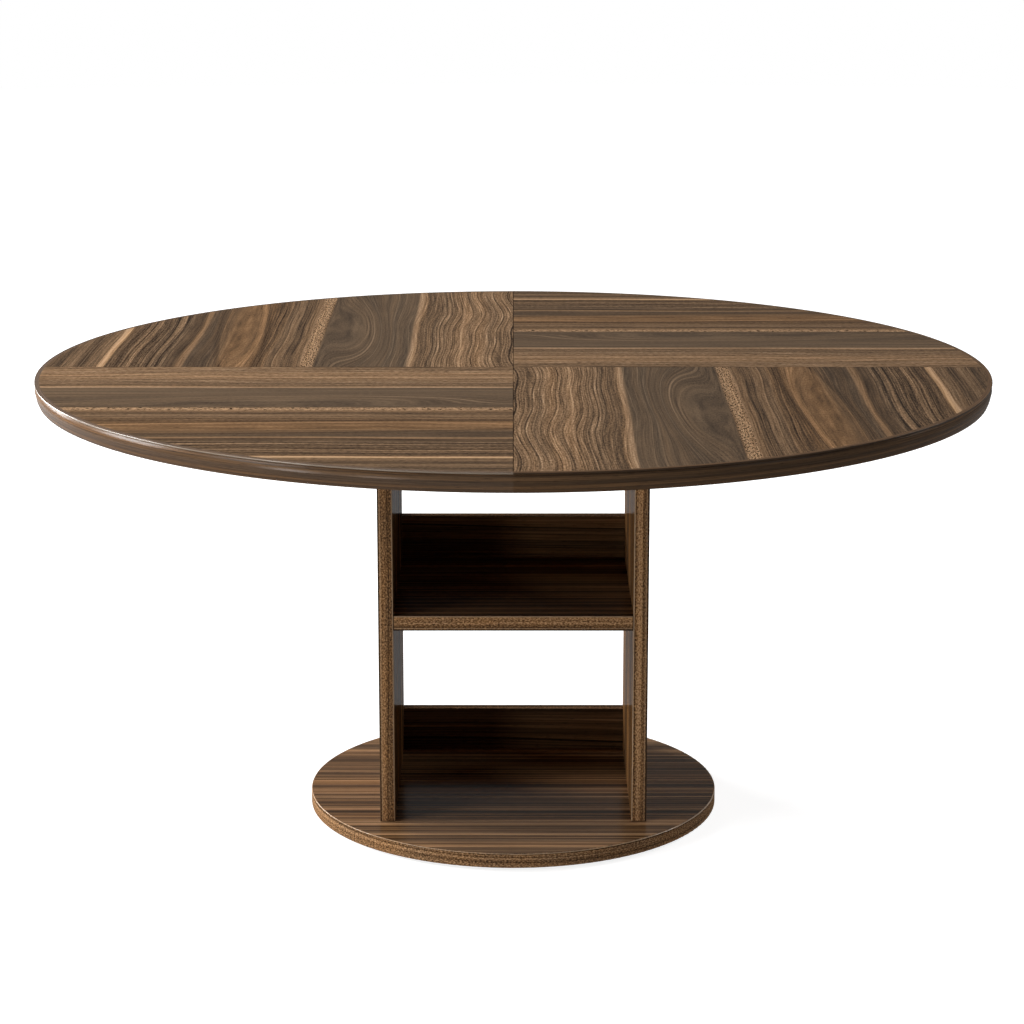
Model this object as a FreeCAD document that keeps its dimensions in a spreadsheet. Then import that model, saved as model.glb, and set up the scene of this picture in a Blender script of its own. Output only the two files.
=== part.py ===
"""Round pedestal dining table: quartered top, shelved box pedestal, disc base on levelling feet."""

import FreeCAD, Part
import math
import os

import Sketcher

doc = FreeCAD.newDocument("PedestalTable")
sheet = doc.addObject("Spreadsheet::Sheet", "Sizes")

# Driving dimensions in millimetres, one sheet cell each.
SIZES = {
    # round top
    "top_diameter": 1600,
    "top_thickness": 31,
    "seam_chamfer": 0.5,
    # moulded rim lipping
    "lipping_width": 8,
    "bead_radius": 1.6,
    "quirk_depth": 3.2,
    "quirk_gap": 0.6,
    "shoulder_height": 10.2,
    "shoulder_setback": 0.4,
    "step_depth": 0.9,
    "foot_setback": 5.2,
    # pedestal boards
    "board": 25,
    "inner_width": 398,
    "panel_depth": 410,
    "panel_height": 710,
    "pedestal_setback": 6.5,
    "lower_bay_height": 334,
    "rail_board": 20,
    "rail_height": 76,
    "band": 2,
    "band_round": 1.5,
    "base_diameter": 705,
    # bearers under the top
    "bearer_board": 22,
    "bearer_height": 60,
    "bearer_length": 1040,
    "bearer_taper": 120,
    "bearer_tip": 25,
    "bearer_spread": 220,
    "cross_spread": 660,
    # fits and clearances
    "glue_line": 0.1,
    "fit_gap": 0.2,
    "hole_gap": 0.1,
    "end_gap": 0.5,
    "overrun": 5,
    # wood dowels
    "dowel_diameter": 8,
    "dowel_chamfer": 0.8,
    "seam_dowel_length": 40,
    "dowel_length": 30,
    "dowel_in_panel": 12,
    # cam fittings
    "cam_diameter": 15,
    "cam_height": 16,
    "cam_inset": 24,
    "cam_axis_depth": 12.5,
    "cam_slot_width": 2,
    "cam_slot_length": 9,
    "cam_slot_depth": 2.5,
    "bolt_diameter": 6,
    "bolt_in_panel": 11,
    "bolt_neck_diameter": 5,
    "bolt_head_diameter": 7,
    "bolt_head_length": 4,
    # long countersunk panel screws
    "screw_diameter": 7,
    "screw_length": 60,
    "screw_head_diameter": 10,
    "screw_head_depth": 4,
    "screw_socket_width": 4,
    "screw_socket_depth": 2.5,
    # pan head screws of the bearers, brackets and joining plates
    "bearer_screw_diameter": 5,
    "bearer_screw_in_top": 20,
    "bearer_screw_seat": 30,
    "bearer_screw_head_diameter": 10,
    "bearer_screw_head_height": 3,
    "counterbore_gap": 1,
    "small_screw_diameter": 4,
    "small_screw_length": 16,
    "small_screw_head_diameter": 8,
    "small_screw_head_height": 2.4,
    # steel angle brackets
    "bracket_leg": 40,
    "bracket_width": 36,
    "bracket_metal": 2,
    "bracket_bend": 3,
    "bracket_corner": 4,
    # steel joining plates under the seams
    "plate_length": 130,
    "plate_width": 40,
    "plate_metal": 2.5,
    "plate_corner": 8,
    # levelling feet
    "foot_inset": 37.5,
    "pad_diameter": 38,
    "pad_height": 4,
    "pad_chamfer": 1.2,
    "spigot_diameter": 10,
    "spigot_depth": 2.5,
    "spigot_gap": 0.1,
    "hex_width": 13,
    "hex_height": 2.5,
    "stem_diameter": 8,
    "stem_length": 20,
    "thread_gap": 0.06,
    "insert_diameter": 12,
    "insert_length": 15,
    "insert_flange_diameter": 20,
    "insert_flange": 1.5,
}

# Places along a piece, as shares of the length that they follow.
SEAM_DOWEL_SHARES = (0.24, 0.55, 0.9)
SEAM_PLATE_SHARE = 0.78
PLATE_SCREW_SHARES = (0.4, 0.72)
BEARER_SCREW_SHARES = (0.53, 0.85)
CROSS_SCREW_SHARES = (0.45, 0.78)
BRACKET_SCREW_SHARE = 0.62
BRACKET_ROW_SHARE = 0.27
SHELF_CAM_SHARE = 0.3
SHELF_DOWEL_SHARE = 0.4
RAIL_DOWEL_SHARE = 0.2
PANEL_SCREW_SHARES = (-0.34, 0, 0.34)
RAIL_SCREW_SHARE = 0.28
RECESS_LENGTH_SHARE = 0.55
RECESS_WIDTH_SHARE = 0.13
RECESS_DEPTH_SHARE = 0.6
FEET = 6
SIDE_NAMES = {-1: "left", 1: "right"}

X_AXIS = FreeCAD.Vector(1, 0, 0)
Y_AXIS = FreeCAD.Vector(0, 1, 0)
Z_AXIS = FreeCAD.Vector(0, 0, 1)

for row, (alias, size) in enumerate(SIZES.items(), start=1):
    sheet.set(f"A{row}", alias.replace("_", " "))
    sheet.set(f"B{row}", str(size))
    sheet.setAlias(f"B{row}", alias)
doc.recompute()

# Levels and faces of the table, from the floor up, as expressions of the sheet.
TOP_RADIUS = "(Sizes.top_diameter / 2)"
BASE_LOW = "(Sizes.pad_height + Sizes.hex_height)"
BASE_TOP = f"({BASE_LOW} + Sizes.board)"
SHELF_LOW = f"({BASE_TOP} + Sizes.lower_bay_height)"
SHELF_TOP = f"({SHELF_LOW} + Sizes.board)"
TOP_LOW = f"({BASE_TOP} + Sizes.panel_height)"
BEARER_LOW = f"({TOP_LOW} - Sizes.bearer_height)"
BEARER_MIDDLE = f"({TOP_LOW} - Sizes.bearer_height / 2)"
FRONT = "(Sizes.pedestal_setback - Sizes.panel_depth / 2)"
BACK = "(Sizes.pedestal_setback + Sizes.panel_depth / 2)"
INNER = "(Sizes.inner_width / 2)"
SHELF_WIDTH = "(Sizes.inner_width - 2 * Sizes.fit_gap)"
RAIL_MIDDLE_Y = f"({BACK} - Sizes.rail_board / 2)"

subparts = []


def number(expression):
    """Present value of an expression of the sheet."""
    return float(sheet.evalExpression(expression))


def keep(thing, label):
    """Names a finished sub-part and puts it on the list of what is written."""
    thing.Label = label
    subparts.append(thing)
    return thing


def place(thing, x="0", y="0", z="0", turn=None):
    """Places a thing by three expressions, after an optional rotation."""
    if turn is not None:
        thing.Placement = FreeCAD.Placement(FreeCAD.Vector(), turn)
    for axis, expression in zip("xyz", (x, y, z)):
        thing.setExpression(f"Placement.Base.{axis}", expression)
    return thing


def about_z(angle):
    """Rotation about the upright axis."""
    return FreeCAD.Rotation(Z_AXIS, angle)


def frame_turn(across, outward):
    """Rotation that takes local X and Y to two given square directions."""
    return FreeCAD.Rotation(across, outward, across.cross(outward), "XYZ")


ALONG_X = frame_turn(Y_AXIS, Z_AXIS)
ALONG_Y = frame_turn(Z_AXIS, X_AXIS)
AGAINST_X = frame_turn(Z_AXIS, Y_AXIS)
AGAINST_Y = frame_turn(X_AXIS, Z_AXIS)


def cylinder(name, diameter, length, x="0", y="0", z="0", turn=None):
    """Round bar from its start point along its own axis."""
    bar = doc.addObject("Part::Cylinder", name)
    bar.setExpression("Radius", f"({diameter}) / 2")
    bar.setExpression("Height", length)
    return place(bar, x, y, z, turn)


def cone(name, low_diameter, high_diameter, length, z="0"):
    """Tapered round piece on the local Z axis."""
    taper = doc.addObject("Part::Cone", name)
    taper.setExpression("Radius1", f"({low_diameter}) / 2")
    taper.setExpression("Radius2", f"({high_diameter}) / 2")
    taper.setExpression("Height", length)
    return place(taper, z=z)


def box(name, length, width, height, x="0", y="0", z="0"):
    """Square block from its lowest corner."""
    block = doc.addObject("Part::Box", name)
    block.setExpression("Length", length)
    block.setExpression("Width", width)
    block.setExpression("Height", height)
    return place(block, x, y, z)


def fuse(name, members):
    """One solid made of several that touch."""
    solid = doc.addObject("Part::MultiFuse", name)
    solid.Shapes = members
    solid.Refine = True
    return solid


def group(name, members):
    """Separate solids held together as one thing."""
    gathered = doc.addObject("Part::Compound", name)
    gathered.Links = members
    return gathered


def copy_at(master, name, x="0", y="0", z="0", turn=None):
    """Placed copy of a master solid or group."""
    return place(group(name, [master]), x, y, z, turn)


def cut(name, blank, tool):
    """A blank with a tool's shape taken out of it."""
    result = doc.addObject("Part::Cut", name)
    result.Base = blank
    result.Tool = tool
    return result


def outline(body, name, plane, corners, rounds=None):
    """Closed sketch through corners given as expressions, anticlockwise.

    rounds maps the number of a side to the radius of the outward arc that replaces its straight line.
    """
    rounds = rounds or {}
    sketch = body.newObject("Sketcher::SketchObject", name)
    origin_plane = next(item for item in body.Origin.OriginFeatures if item.Role == plane)
    sketch.AttachmentSupport = [(origin_plane, "")]
    sketch.MapMode = "FlatFace"
    points = [FreeCAD.Vector(number(x), number(y), 0) for x, y in corners]
    count = len(points)
    for side, start in enumerate(points):
        end = points[(side + 1) % count]
        if side in rounds:
            sketch.addGeometry(left_arc(start, end, number(rounds[side])))
        else:
            sketch.addGeometry(Part.LineSegment(start, end))
    for side in range(count):
        sketch.addConstraint(Sketcher.Constraint("Coincident", side, 2, (side + 1) % count, 1))
    for side, (x, y) in enumerate(corners):
        bind(sketch, Sketcher.Constraint("DistanceX", -1, 1, side, 1, points[side].x), f"x{side}", x)
        bind(sketch, Sketcher.Constraint("DistanceY", -1, 1, side, 1, points[side].y), f"y{side}", y)
    for side, radius in rounds.items():
        bind(sketch, Sketcher.Constraint("Radius", side, number(radius)), f"radius{side}", radius)
    return sketch


def bind(sketch, constraint, name, expression):
    """Adds a named dimension to a sketch and ties it to the sheet."""
    sketch.renameConstraint(sketch.addConstraint(constraint), name)
    sketch.setExpression(f"Constraints.{name}", expression)


def left_arc(start, end, radius):
    """Anticlockwise arc of a radius from one point to another, at most half a turn."""
    chord = end - start
    height = math.sqrt(max(radius ** 2 - (chord.Length / 2) ** 2, 0))
    inward = FreeCAD.Vector(-chord.y, chord.x, 0).normalize()
    centre = (start + end) / 2 + inward * height
    first = math.atan2(start.y - centre.y, start.x - centre.x)
    last = math.atan2(end.y - centre.y, end.x - centre.x)
    return Part.ArcOfCircle(Part.Circle(centre, Z_AXIS, radius), first, last)


def padded(name, plane, corners, length, rounds=None):
    """Body made of one outline, padded square to its plane."""
    body = doc.addObject("PartDesign::Body", name)
    sketch = outline(body, f"{name}_outline", plane, corners, rounds)
    pad = body.newObject("PartDesign::Pad", f"{name}_pad")
    pad.Profile = sketch
    pad.setExpression("Length", length)
    return body


def turned(name, corners, rounds=None, angle="360", centred=False):
    """Body made of one half section, in radius and height, revolved about the upright axis."""
    body = doc.addObject("PartDesign::Body", name)
    sketch = outline(body, f"{name}_section", "XZ_Plane", corners, rounds)
    revolution = body.newObject("PartDesign::Revolution", f"{name}_turn")
    revolution.Profile = sketch
    revolution.ReferenceAxis = (sketch, ["V_Axis"])
    revolution.Midplane = centred
    revolution.setExpression("Angle", angle)
    return body


def rounded_rectangle(length, width, corner):
    """Corners and rounds of a flat rectangle about the origin."""
    half_x = f"({length} / 2)"
    half_y = f"({width} / 2)"
    corners = [
        (f"{corner} - {half_x}", f"-{half_y}"),
        (f"{half_x} - {corner}", f"-{half_y}"),
        (half_x, f"{corner} - {half_y}"),
        (half_x, f"{half_y} - {corner}"),
        (f"{half_x} - {corner}", half_y),
        (f"{corner} - {half_x}", half_y),
        (f"-{half_x}", f"{half_y} - {corner}"),
        (f"-{half_x}", f"{corner} - {half_y}"),
    ]
    return corners, {side: corner for side in (1, 3, 5, 7)}


def edge_band(label, width, length, x, y, z, turn):
    """Glued strip, its two outer arrises rounded.

    Local X runs across the strip, local Y points out of the board and local Z runs along the edge.
    """
    corners = [
        ("0", "0"),
        (width, "0"),
        (width, "Sizes.band - Sizes.band_round"),
        (f"{width} - Sizes.band_round", "Sizes.band"),
        ("Sizes.band_round", "Sizes.band"),
        ("0", "Sizes.band - Sizes.band_round"),
    ]
    rounds = {2: "Sizes.band_round", 4: "Sizes.band_round"}
    return keep(place(padded(label, "XY_Plane", corners, length, rounds), x, y, z, turn), label)


def pan_head_screw(name, diameter, length, head_diameter, head_height):
    """Screw along local Z whose head, with its cross recess, sits under the plane of the origin."""
    shank = cylinder(f"{name}_shank", diameter, length)
    rim_height = f"{head_height} / 2"
    rim = cylinder(f"{name}_rim", head_diameter, rim_height, z=f"-{rim_height}")
    crown_face = f"({head_diameter} + {diameter}) / 2"
    crown = cone(f"{name}_crown", crown_face, head_diameter, rim_height, f"-{head_height}")
    long_side = f"({RECESS_LENGTH_SHARE} * {head_diameter})"
    short_side = f"({RECESS_WIDTH_SHARE} * {head_diameter})"
    depth = f"{RECESS_DEPTH_SHARE} * {head_height} + Sizes.overrun"
    below = f"-{head_height} - Sizes.overrun"
    recess = []
    for side, length_x, length_y in (("x", long_side, short_side), ("y", short_side, long_side)):
        start = (f"-{length_x} / 2", f"-{length_y} / 2", below)
        recess.append(box(f"{name}_recess_{side}", length_x, length_y, depth, *start))
    return cut(name, fuse(f"{name}_blank", [shank, rim, crown]), group(f"{name}_recess", recess))


def drilled(diameter, gap="Sizes.hole_gap"):
    """Diameter of the hole round a bar."""
    return f"({diameter} + 2 * {gap})"


def chamfered_dowel(name, length):
    """Fluted-pin blank with both ends chamfered, along local Z from the origin."""
    ease = "Sizes.dowel_chamfer"
    point = f"(Sizes.dowel_diameter - 2 * {ease})"
    low = cone(f"{name}_low", point, "Sizes.dowel_diameter", ease)
    middle = cylinder(f"{name}_middle", "Sizes.dowel_diameter", f"{length} - 2 * {ease}", z=ease)
    high = cone(f"{name}_high", "Sizes.dowel_diameter", point, ease, f"{length} - {ease}")
    return fuse(name, [low, middle, high])


def dowel_hole(name, length):
    """Round hole for a dowel, longer than it at both ends."""
    depth = f"{length} + 2 * Sizes.end_gap"
    return cylinder(name, drilled("Sizes.dowel_diameter"), depth, z="-Sizes.end_gap")


# Fasteners of the top: seam dowels, joining plates and the screws from the bearers.

def seam_places(distance):
    """The four arms of the seam cross, with the turn that lays local X across each seam."""
    return (
        ("right", distance, "0", 90),
        ("back", "0", distance, 0),
        ("left", f"-{distance}", "0", 90),
        ("front", "0", f"-{distance}", 0),
    )


def make_seam_dowels():
    """Dowels across the seams, and their holes."""
    pin = chamfered_dowel("seam_pin", "Sizes.seam_dowel_length")
    hole = dowel_hole("seam_pin_hole", "Sizes.seam_dowel_length")
    half = "Sizes.seam_dowel_length / 2"
    height = f"{TOP_LOW} + Sizes.top_thickness / 2"
    pins = []
    holes = []
    for share in SEAM_DOWEL_SHARES:
        for arm, x, y, angle in seam_places(f"{TOP_RADIUS} * {share}"):
            name = f"seam_{arm}_{round(share * 100)}"
            turn = ALONG_Y if angle else ALONG_X
            start = (x, f"{y} - {half}") if angle else (f"{x} - {half}", y)
            pins.append(copy_at(pin, f"{name}_pin", *start, height, turn))
            holes.append(copy_at(hole, f"{name}_hole", *start, height, turn))
    keep(group("seam_dowels", pins), "seam_dowels")
    return holes


def plate_places():
    """Places of the screws on a joining plate, along and across it."""
    for side in (-1, 1):
        for share in PLATE_SCREW_SHARES:
            yield f"{side * share} * Sizes.plate_length / 2"


def make_seam_plates():
    """Flat steel plates under the seams with their screws, and the pilot holes."""
    corners, rounds = rounded_rectangle("Sizes.plate_length", "Sizes.plate_width", "Sizes.plate_corner")
    blank = padded("plate_blank", "XY_Plane", corners, "Sizes.plate_metal", rounds)
    screw = small_screw()
    bore = drilled("Sizes.small_screw_diameter")
    bore_length = "Sizes.plate_metal + 2 * Sizes.overrun"
    holes = []
    screws = []
    pilots = []
    for index, x in enumerate(plate_places()):
        holes.append(cylinder(f"plate_hole_{index}", bore, bore_length, x, z="-Sizes.overrun"))
        screws.append(copy_at(screw, f"plate_screw_{index}", x))
        pilots.append(copy_at(small_pilot(f"plate_pilot_{index}"), f"plate_pilot_at_{index}", x))
    plate = cut("plate_drilled", blank, group("plate_holes", holes))
    screw_set = group("plate_screw_set", screws)
    pilot_set = group("plate_pilot_set", pilots)
    plates = []
    plate_screws = []
    plate_pilots = []
    low = f"{TOP_LOW} - Sizes.plate_metal"
    for arm, x, y, angle in seam_places(f"{TOP_RADIUS} * {SEAM_PLATE_SHARE}"):
        plates.append(copy_at(plate, f"plate_{arm}", x, y, low, about_z(angle)))
        plate_screws.append(copy_at(screw_set, f"plate_screws_{arm}", x, y, low, about_z(angle)))
        plate_pilots.append(copy_at(pilot_set, f"plate_pilots_{arm}", x, y, low, about_z(angle)))
    keep(group("seam_plates", plates), "seam_plates")
    keep(group("seam_plate_screws", plate_screws), "seam_plate_screws")
    return plate_pilots


def small_screw():
    """Short pan head screw, made once for the plates and the brackets."""
    found = doc.getObject("small_screw")
    if found:
        return found
    return pan_head_screw(
        "small_screw",
        "Sizes.small_screw_diameter",
        "Sizes.small_screw_length",
        "Sizes.small_screw_head_diameter",
        "Sizes.small_screw_head_height",
    )


def small_pilot(name):
    """Pilot hole of a short screw."""
    return cylinder(name, drilled("Sizes.small_screw_diameter"), "Sizes.small_screw_length + Sizes.end_gap")


def bearer_screw_places():
    """Name and place of each screw between a bearer and the top."""
    for side in (-1, 1):
        line = f"{side} * Sizes.bearer_spread / 2"
        cross_line = f"{side} * Sizes.cross_spread / 2"
        for end in (-1, 1):
            for share in BEARER_SCREW_SHARES:
                yield f"{end * share} * Sizes.bearer_length / 2", line
            for share in CROSS_SCREW_SHARES:
                yield cross_line, f"{end * share} * Sizes.bearer_length / 2"


def make_bearer_screws():
    """Screws from the counterbored bearers up into the top, and their stepped holes."""
    seat = f"{TOP_LOW} - Sizes.bearer_screw_seat"
    length = "Sizes.bearer_screw_seat + Sizes.bearer_screw_in_top"
    head = "Sizes.bearer_screw_head_diameter"
    screw = pan_head_screw(
        "bearer_screw", "Sizes.bearer_screw_diameter", length, head, "Sizes.bearer_screw_head_height"
    )
    pilot = cylinder("bearer_pilot", drilled("Sizes.bearer_screw_diameter"), f"{length} + Sizes.end_gap")
    depth = "Sizes.bearer_height - Sizes.bearer_screw_seat + Sizes.overrun"
    well = cylinder("bearer_well", drilled(head, "Sizes.counterbore_gap"), depth, z=f"-({depth})")
    hole = fuse("bearer_screw_hole", [pilot, well])
    screws = []
    holes = []
    for index, (x, y) in enumerate(bearer_screw_places()):
        screws.append(copy_at(screw, f"bearer_screw_{index}", x, y, seat))
        holes.append(copy_at(hole, f"bearer_screw_hole_{index}", x, y, seat))
    keep(group("bearer_screws", screws), "bearer_screws")
    return holes


# The round top: four quarter panels and their moulded lippings.

def make_top(holes):
    """Quarter panels with eased seam edges, drilled for their dowels and screws, and the lippings."""
    tool = group("top_holes", holes)
    core = f"({TOP_RADIUS} - Sizes.lipping_width - Sizes.glue_line)"
    corners = [("0", "0"), (core, "0"), ("0", core)]
    quarters = (("back_right", 0), ("back_left", 90), ("front_left", 180), ("front_right", 270))
    for quarter, angle in quarters:
        label = f"top_panel_{quarter}"
        blank = padded(f"{label}_blank", "XY_Plane", corners, "Sizes.top_thickness", {1: core})
        ease_seam_edges(blank)
        place(blank, z=TOP_LOW, turn=about_z(angle))
        keep(cut(label, blank, tool), label)
        make_lipping(f"rim_lipping_{quarter}", angle)


def ease_seam_edges(blank):
    """Chamfers the two straight upper edges of a quarter panel."""
    doc.recompute()
    pad = blank.Tip
    top = number("Sizes.top_thickness")
    near = pad.Shape.getTolerance(1)
    upper = []
    for index, edge in enumerate(pad.Shape.Edges, start=1):
        level = all(abs(end.Z - top) < near for end in edge.Vertexes)
        if level and isinstance(edge.Curve, Part.Line):
            upper.append(f"Edge{index}")
    chamfer = blank.newObject("PartDesign::Chamfer", f"{blank.Name}_ease")
    chamfer.Base = (pad, upper)
    chamfer.setExpression("Size", "Sizes.seam_chamfer")


def make_lipping(label, angle):
    """Quarter of the moulded rim: bead, quirk, rounded shoulder, small step and undercut lower face."""
    inner = f"{TOP_RADIUS} - Sizes.lipping_width"
    foot = f"{TOP_RADIUS} - Sizes.foot_setback"
    shoulder = f"{TOP_RADIUS} - Sizes.shoulder_setback"
    quirk = f"{TOP_RADIUS} - Sizes.quirk_depth"
    bead = f"{TOP_RADIUS} - Sizes.bead_radius"
    bead_foot = "(Sizes.top_thickness - 2 * Sizes.bead_radius)"
    shoulder_top = f"({bead_foot} - Sizes.quirk_gap)"
    shoulder_foot = f"({shoulder_top} - Sizes.shoulder_height)"
    corners = [
        (inner, "0"),
        (foot, "0"),
        (f"{shoulder} - Sizes.step_depth", shoulder_foot),
        (shoulder, shoulder_foot),
        (quirk, shoulder_top),
        (quirk, bead_foot),
        (bead, bead_foot),
        (bead, "Sizes.top_thickness"),
        (inner, "Sizes.top_thickness"),
    ]
    lower_run = "(Sizes.foot_setback - Sizes.shoulder_setback - Sizes.step_depth)"
    shoulder_run = "(Sizes.quirk_depth - Sizes.shoulder_setback)"
    rounds = {
        1: upright_arc(lower_run, shoulder_foot),
        3: upright_arc(shoulder_run, "Sizes.shoulder_height"),
        6: "Sizes.bead_radius",
    }
    lipping = turned(label, corners, rounds, "90", centred=True)
    keep(place(lipping, z=TOP_LOW, turn=about_z(angle + 45)), label)


def upright_arc(run, rise):
    """Radius of the arc that starts upright and has gone in by a run after a rise."""
    return f"({run} ^ 2 + {rise} ^ 2) / (2 * {run})"


# Bearers under the top and the brackets that tie them to the side panels.

def make_bearers(holes):
    """Two bearers let into the side panels and two cross bearers halved over them."""
    tool = group("bearer_holes", holes)
    width = "Sizes.bearer_board + 2 * Sizes.fit_gap"
    half_height = "Sizes.bearer_height / 2"
    slot_depth = f"{half_height} + Sizes.overrun"
    for side, name in ((-1, "front"), (1, "back")):
        line = f"{side} * Sizes.bearer_spread / 2"
        blank = bearer_blank(f"bearer_{name}_blank")
        place(blank, y=f"{line} + Sizes.bearer_board / 2", z=BEARER_LOW, turn=frame_turn(X_AXIS, Z_AXIS))
        slots = [
            box(
                f"bearer_{name}_slot_{end_name}",
                width,
                "Sizes.bearer_board + 2 * Sizes.overrun",
                slot_depth,
                f"{end} * Sizes.cross_spread / 2 - ({width}) / 2",
                f"{line} - Sizes.bearer_board / 2 - Sizes.overrun",
                BEARER_MIDDLE,
            )
            for end, end_name in ((-1, "left"), (1, "right"))
        ]
        keep(cut(f"bearer_{name}", blank, group(f"bearer_{name}_cuts", slots + [tool])), f"bearer_{name}")
    for side, name in ((-1, "left"), (1, "right")):
        line = f"{side} * Sizes.cross_spread / 2"
        blank = bearer_blank(f"cross_bearer_{name}_blank")
        place(blank, f"{line} - Sizes.bearer_board / 2", z=BEARER_LOW, turn=ALONG_X)
        slots = [
            box(
                f"cross_bearer_{name}_slot_{end_name}",
                "Sizes.bearer_board + 2 * Sizes.overrun",
                width,
                slot_depth,
                f"{line} - Sizes.bearer_board / 2 - Sizes.overrun",
                f"{end} * Sizes.bearer_spread / 2 - ({width}) / 2",
                f"{BEARER_LOW} - Sizes.overrun",
            )
            for end, end_name in ((-1, "front"), (1, "back"))
        ]
        label = f"cross_bearer_{name}"
        keep(cut(label, blank, group(f"{label}_cuts", slots + [tool])), label)


def bearer_blank(name):
    """Board on edge whose lower edge rises towards both ends: local X along it, local Y up."""
    half = "(Sizes.bearer_length / 2)"
    flat = f"({half} - Sizes.bearer_taper)"
    rise = "(Sizes.bearer_height - Sizes.bearer_tip)"
    corners = [
        (f"-{flat}", "0"),
        (flat, "0"),
        (half, rise),
        (half, "Sizes.bearer_height"),
        (f"-{half}", "Sizes.bearer_height"),
        (f"-{half}", rise),
    ]
    return padded(name, "XY_Plane", corners, "Sizes.bearer_board")


def bracket_screw_places():
    """Distance along a leg and height of the screws on one leg of a bracket."""
    along = f"{BRACKET_SCREW_SHARE} * Sizes.bracket_leg"
    for side in (-1, 1):
        yield along, f"{side * BRACKET_ROW_SHARE} * Sizes.bracket_width"


def make_brackets():
    """Angle brackets in the corners between bearers and side panels, their screws and pilot holes."""
    leg = "Sizes.bracket_leg"
    metal = "Sizes.bracket_metal"
    bend = "Sizes.bracket_bend"
    corners = [
        (bend, "0"),
        (leg, "0"),
        (leg, metal),
        (metal, metal),
        (metal, leg),
        ("0", leg),
        ("0", bend),
    ]
    blank = padded("bracket_blank", "XY_Plane", corners, "Sizes.bracket_width", {6: bend})
    round_leg_ends(blank)
    middle = place(group("bracket_middle", [blank]), z="-Sizes.bracket_width / 2")
    screw = small_screw()
    bore = drilled("Sizes.small_screw_diameter")
    bore_length = f"{metal} + 2 * Sizes.overrun"
    holes = []
    screws = []
    pilots = []
    for index, (along, height) in enumerate(bracket_screw_places()):
        for side, turn in (("a", AGAINST_Y), ("b", AGAINST_X)):
            name = f"{side}_{index}"
            seat = (along, metal, height) if side == "a" else (metal, along, height)
            start = (along, f"{metal} + Sizes.overrun", height)
            if side == "b":
                start = (f"{metal} + Sizes.overrun", along, height)
            holes.append(cylinder(f"bracket_hole_{name}", bore, bore_length, *start, turn))
            screws.append(copy_at(screw, f"bracket_screw_{name}", *seat, turn))
            pilot = small_pilot(f"bracket_pilot_{name}")
            pilots.append(copy_at(pilot, f"bracket_pilot_at_{name}", *seat, turn))
    bracket = cut("bracket_drilled", middle, group("bracket_holes", holes))
    screw_set = group("bracket_screw_set", screws)
    pilot_set = group("bracket_pilot_set", pilots)
    gathered = {"brackets": [], "screws": [], "pilots": []}
    reach = "(Sizes.bearer_spread / 2 - Sizes.bearer_board / 2)"
    places = (
        ("front_left", f"-{INNER}", f"-{reach}", 0),
        ("front_right", INNER, f"-{reach}", 90),
        ("back_right", INNER, reach, 180),
        ("back_left", f"-{INNER}", reach, 270),
    )
    for corner, x, y, angle in places:
        for kind, master in (("brackets", bracket), ("screws", screw_set), ("pilots", pilot_set)):
            thing = copy_at(master, f"bracket_{kind}_{corner}", x, y, BEARER_MIDDLE, about_z(angle))
            gathered[kind].append(thing)
    keep(group("bearer_brackets", gathered["brackets"]), "bearer_brackets")
    keep(group("bracket_screws", gathered["screws"]), "bracket_screws")
    return gathered["pilots"]


def round_leg_ends(blank):
    """Rounds the free corners at the ends of both legs of a bracket."""
    doc.recompute()
    pad = blank.Tip
    leg = number("Sizes.bracket_leg")
    metal = number("Sizes.bracket_metal")
    near = pad.Shape.getTolerance(1)
    corners = []
    for index, edge in enumerate(pad.Shape.Edges, start=1):
        reach = max(edge.CenterOfMass.x, edge.CenterOfMass.y)
        if abs(reach - leg) < near and abs(edge.Length - metal) < near:
            corners.append(f"Edge{index}")
    fillet = blank.newObject("PartDesign::Fillet", f"{blank.Name}_corners")
    fillet.Base = (pad, corners)
    fillet.setExpression("Radius", "Sizes.bracket_corner")


# Knock-down joints of the pedestal: cams, cam bolts and dowels.

def cam_lock():
    """Round cam about local Z: a cross slot in its open face and a way in for the bolt head."""
    low = "-Sizes.cam_axis_depth"
    drum = cylinder("cam_drum", "Sizes.cam_diameter", "Sizes.cam_height", z=low)
    way = cylinder(
        "cam_way",
        drilled("Sizes.bolt_head_diameter"),
        "Sizes.cam_diameter / 2 + Sizes.bolt_head_length / 2 + Sizes.overrun",
        "-Sizes.cam_diameter / 2 - Sizes.overrun",
        turn=ALONG_X,
    )
    depth = "Sizes.cam_slot_depth + Sizes.overrun"
    below = f"{low} - Sizes.overrun"
    long_side = "Sizes.cam_slot_length"
    short_side = "Sizes.cam_slot_width"
    slots = [
        box("cam_slot_x", long_side, short_side, depth, f"-{long_side} / 2", f"-{short_side} / 2", below),
        box("cam_slot_y", short_side, long_side, depth, f"-{short_side} / 2", f"-{long_side} / 2", below),
    ]
    return cut("cam_lock", drum, group("cam_cuts", [way] + slots))


def cam_bolt():
    """Bolt along local X: threaded in the panel, necked, with its head at the middle of the cam."""
    thread = cylinder(
        "bolt_thread", "Sizes.bolt_diameter", "Sizes.bolt_in_panel", "-Sizes.bolt_in_panel", turn=ALONG_X
    )
    neck_length = "(Sizes.cam_inset - Sizes.bolt_head_length / 2)"
    neck = cylinder("bolt_neck", "Sizes.bolt_neck_diameter", neck_length, turn=ALONG_X)
    head_diameter = "Sizes.bolt_head_diameter"
    head = cylinder("bolt_head", head_diameter, "Sizes.bolt_head_length", neck_length, turn=ALONG_X)
    return fuse("cam_bolt", [thread, neck, head])


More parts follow.
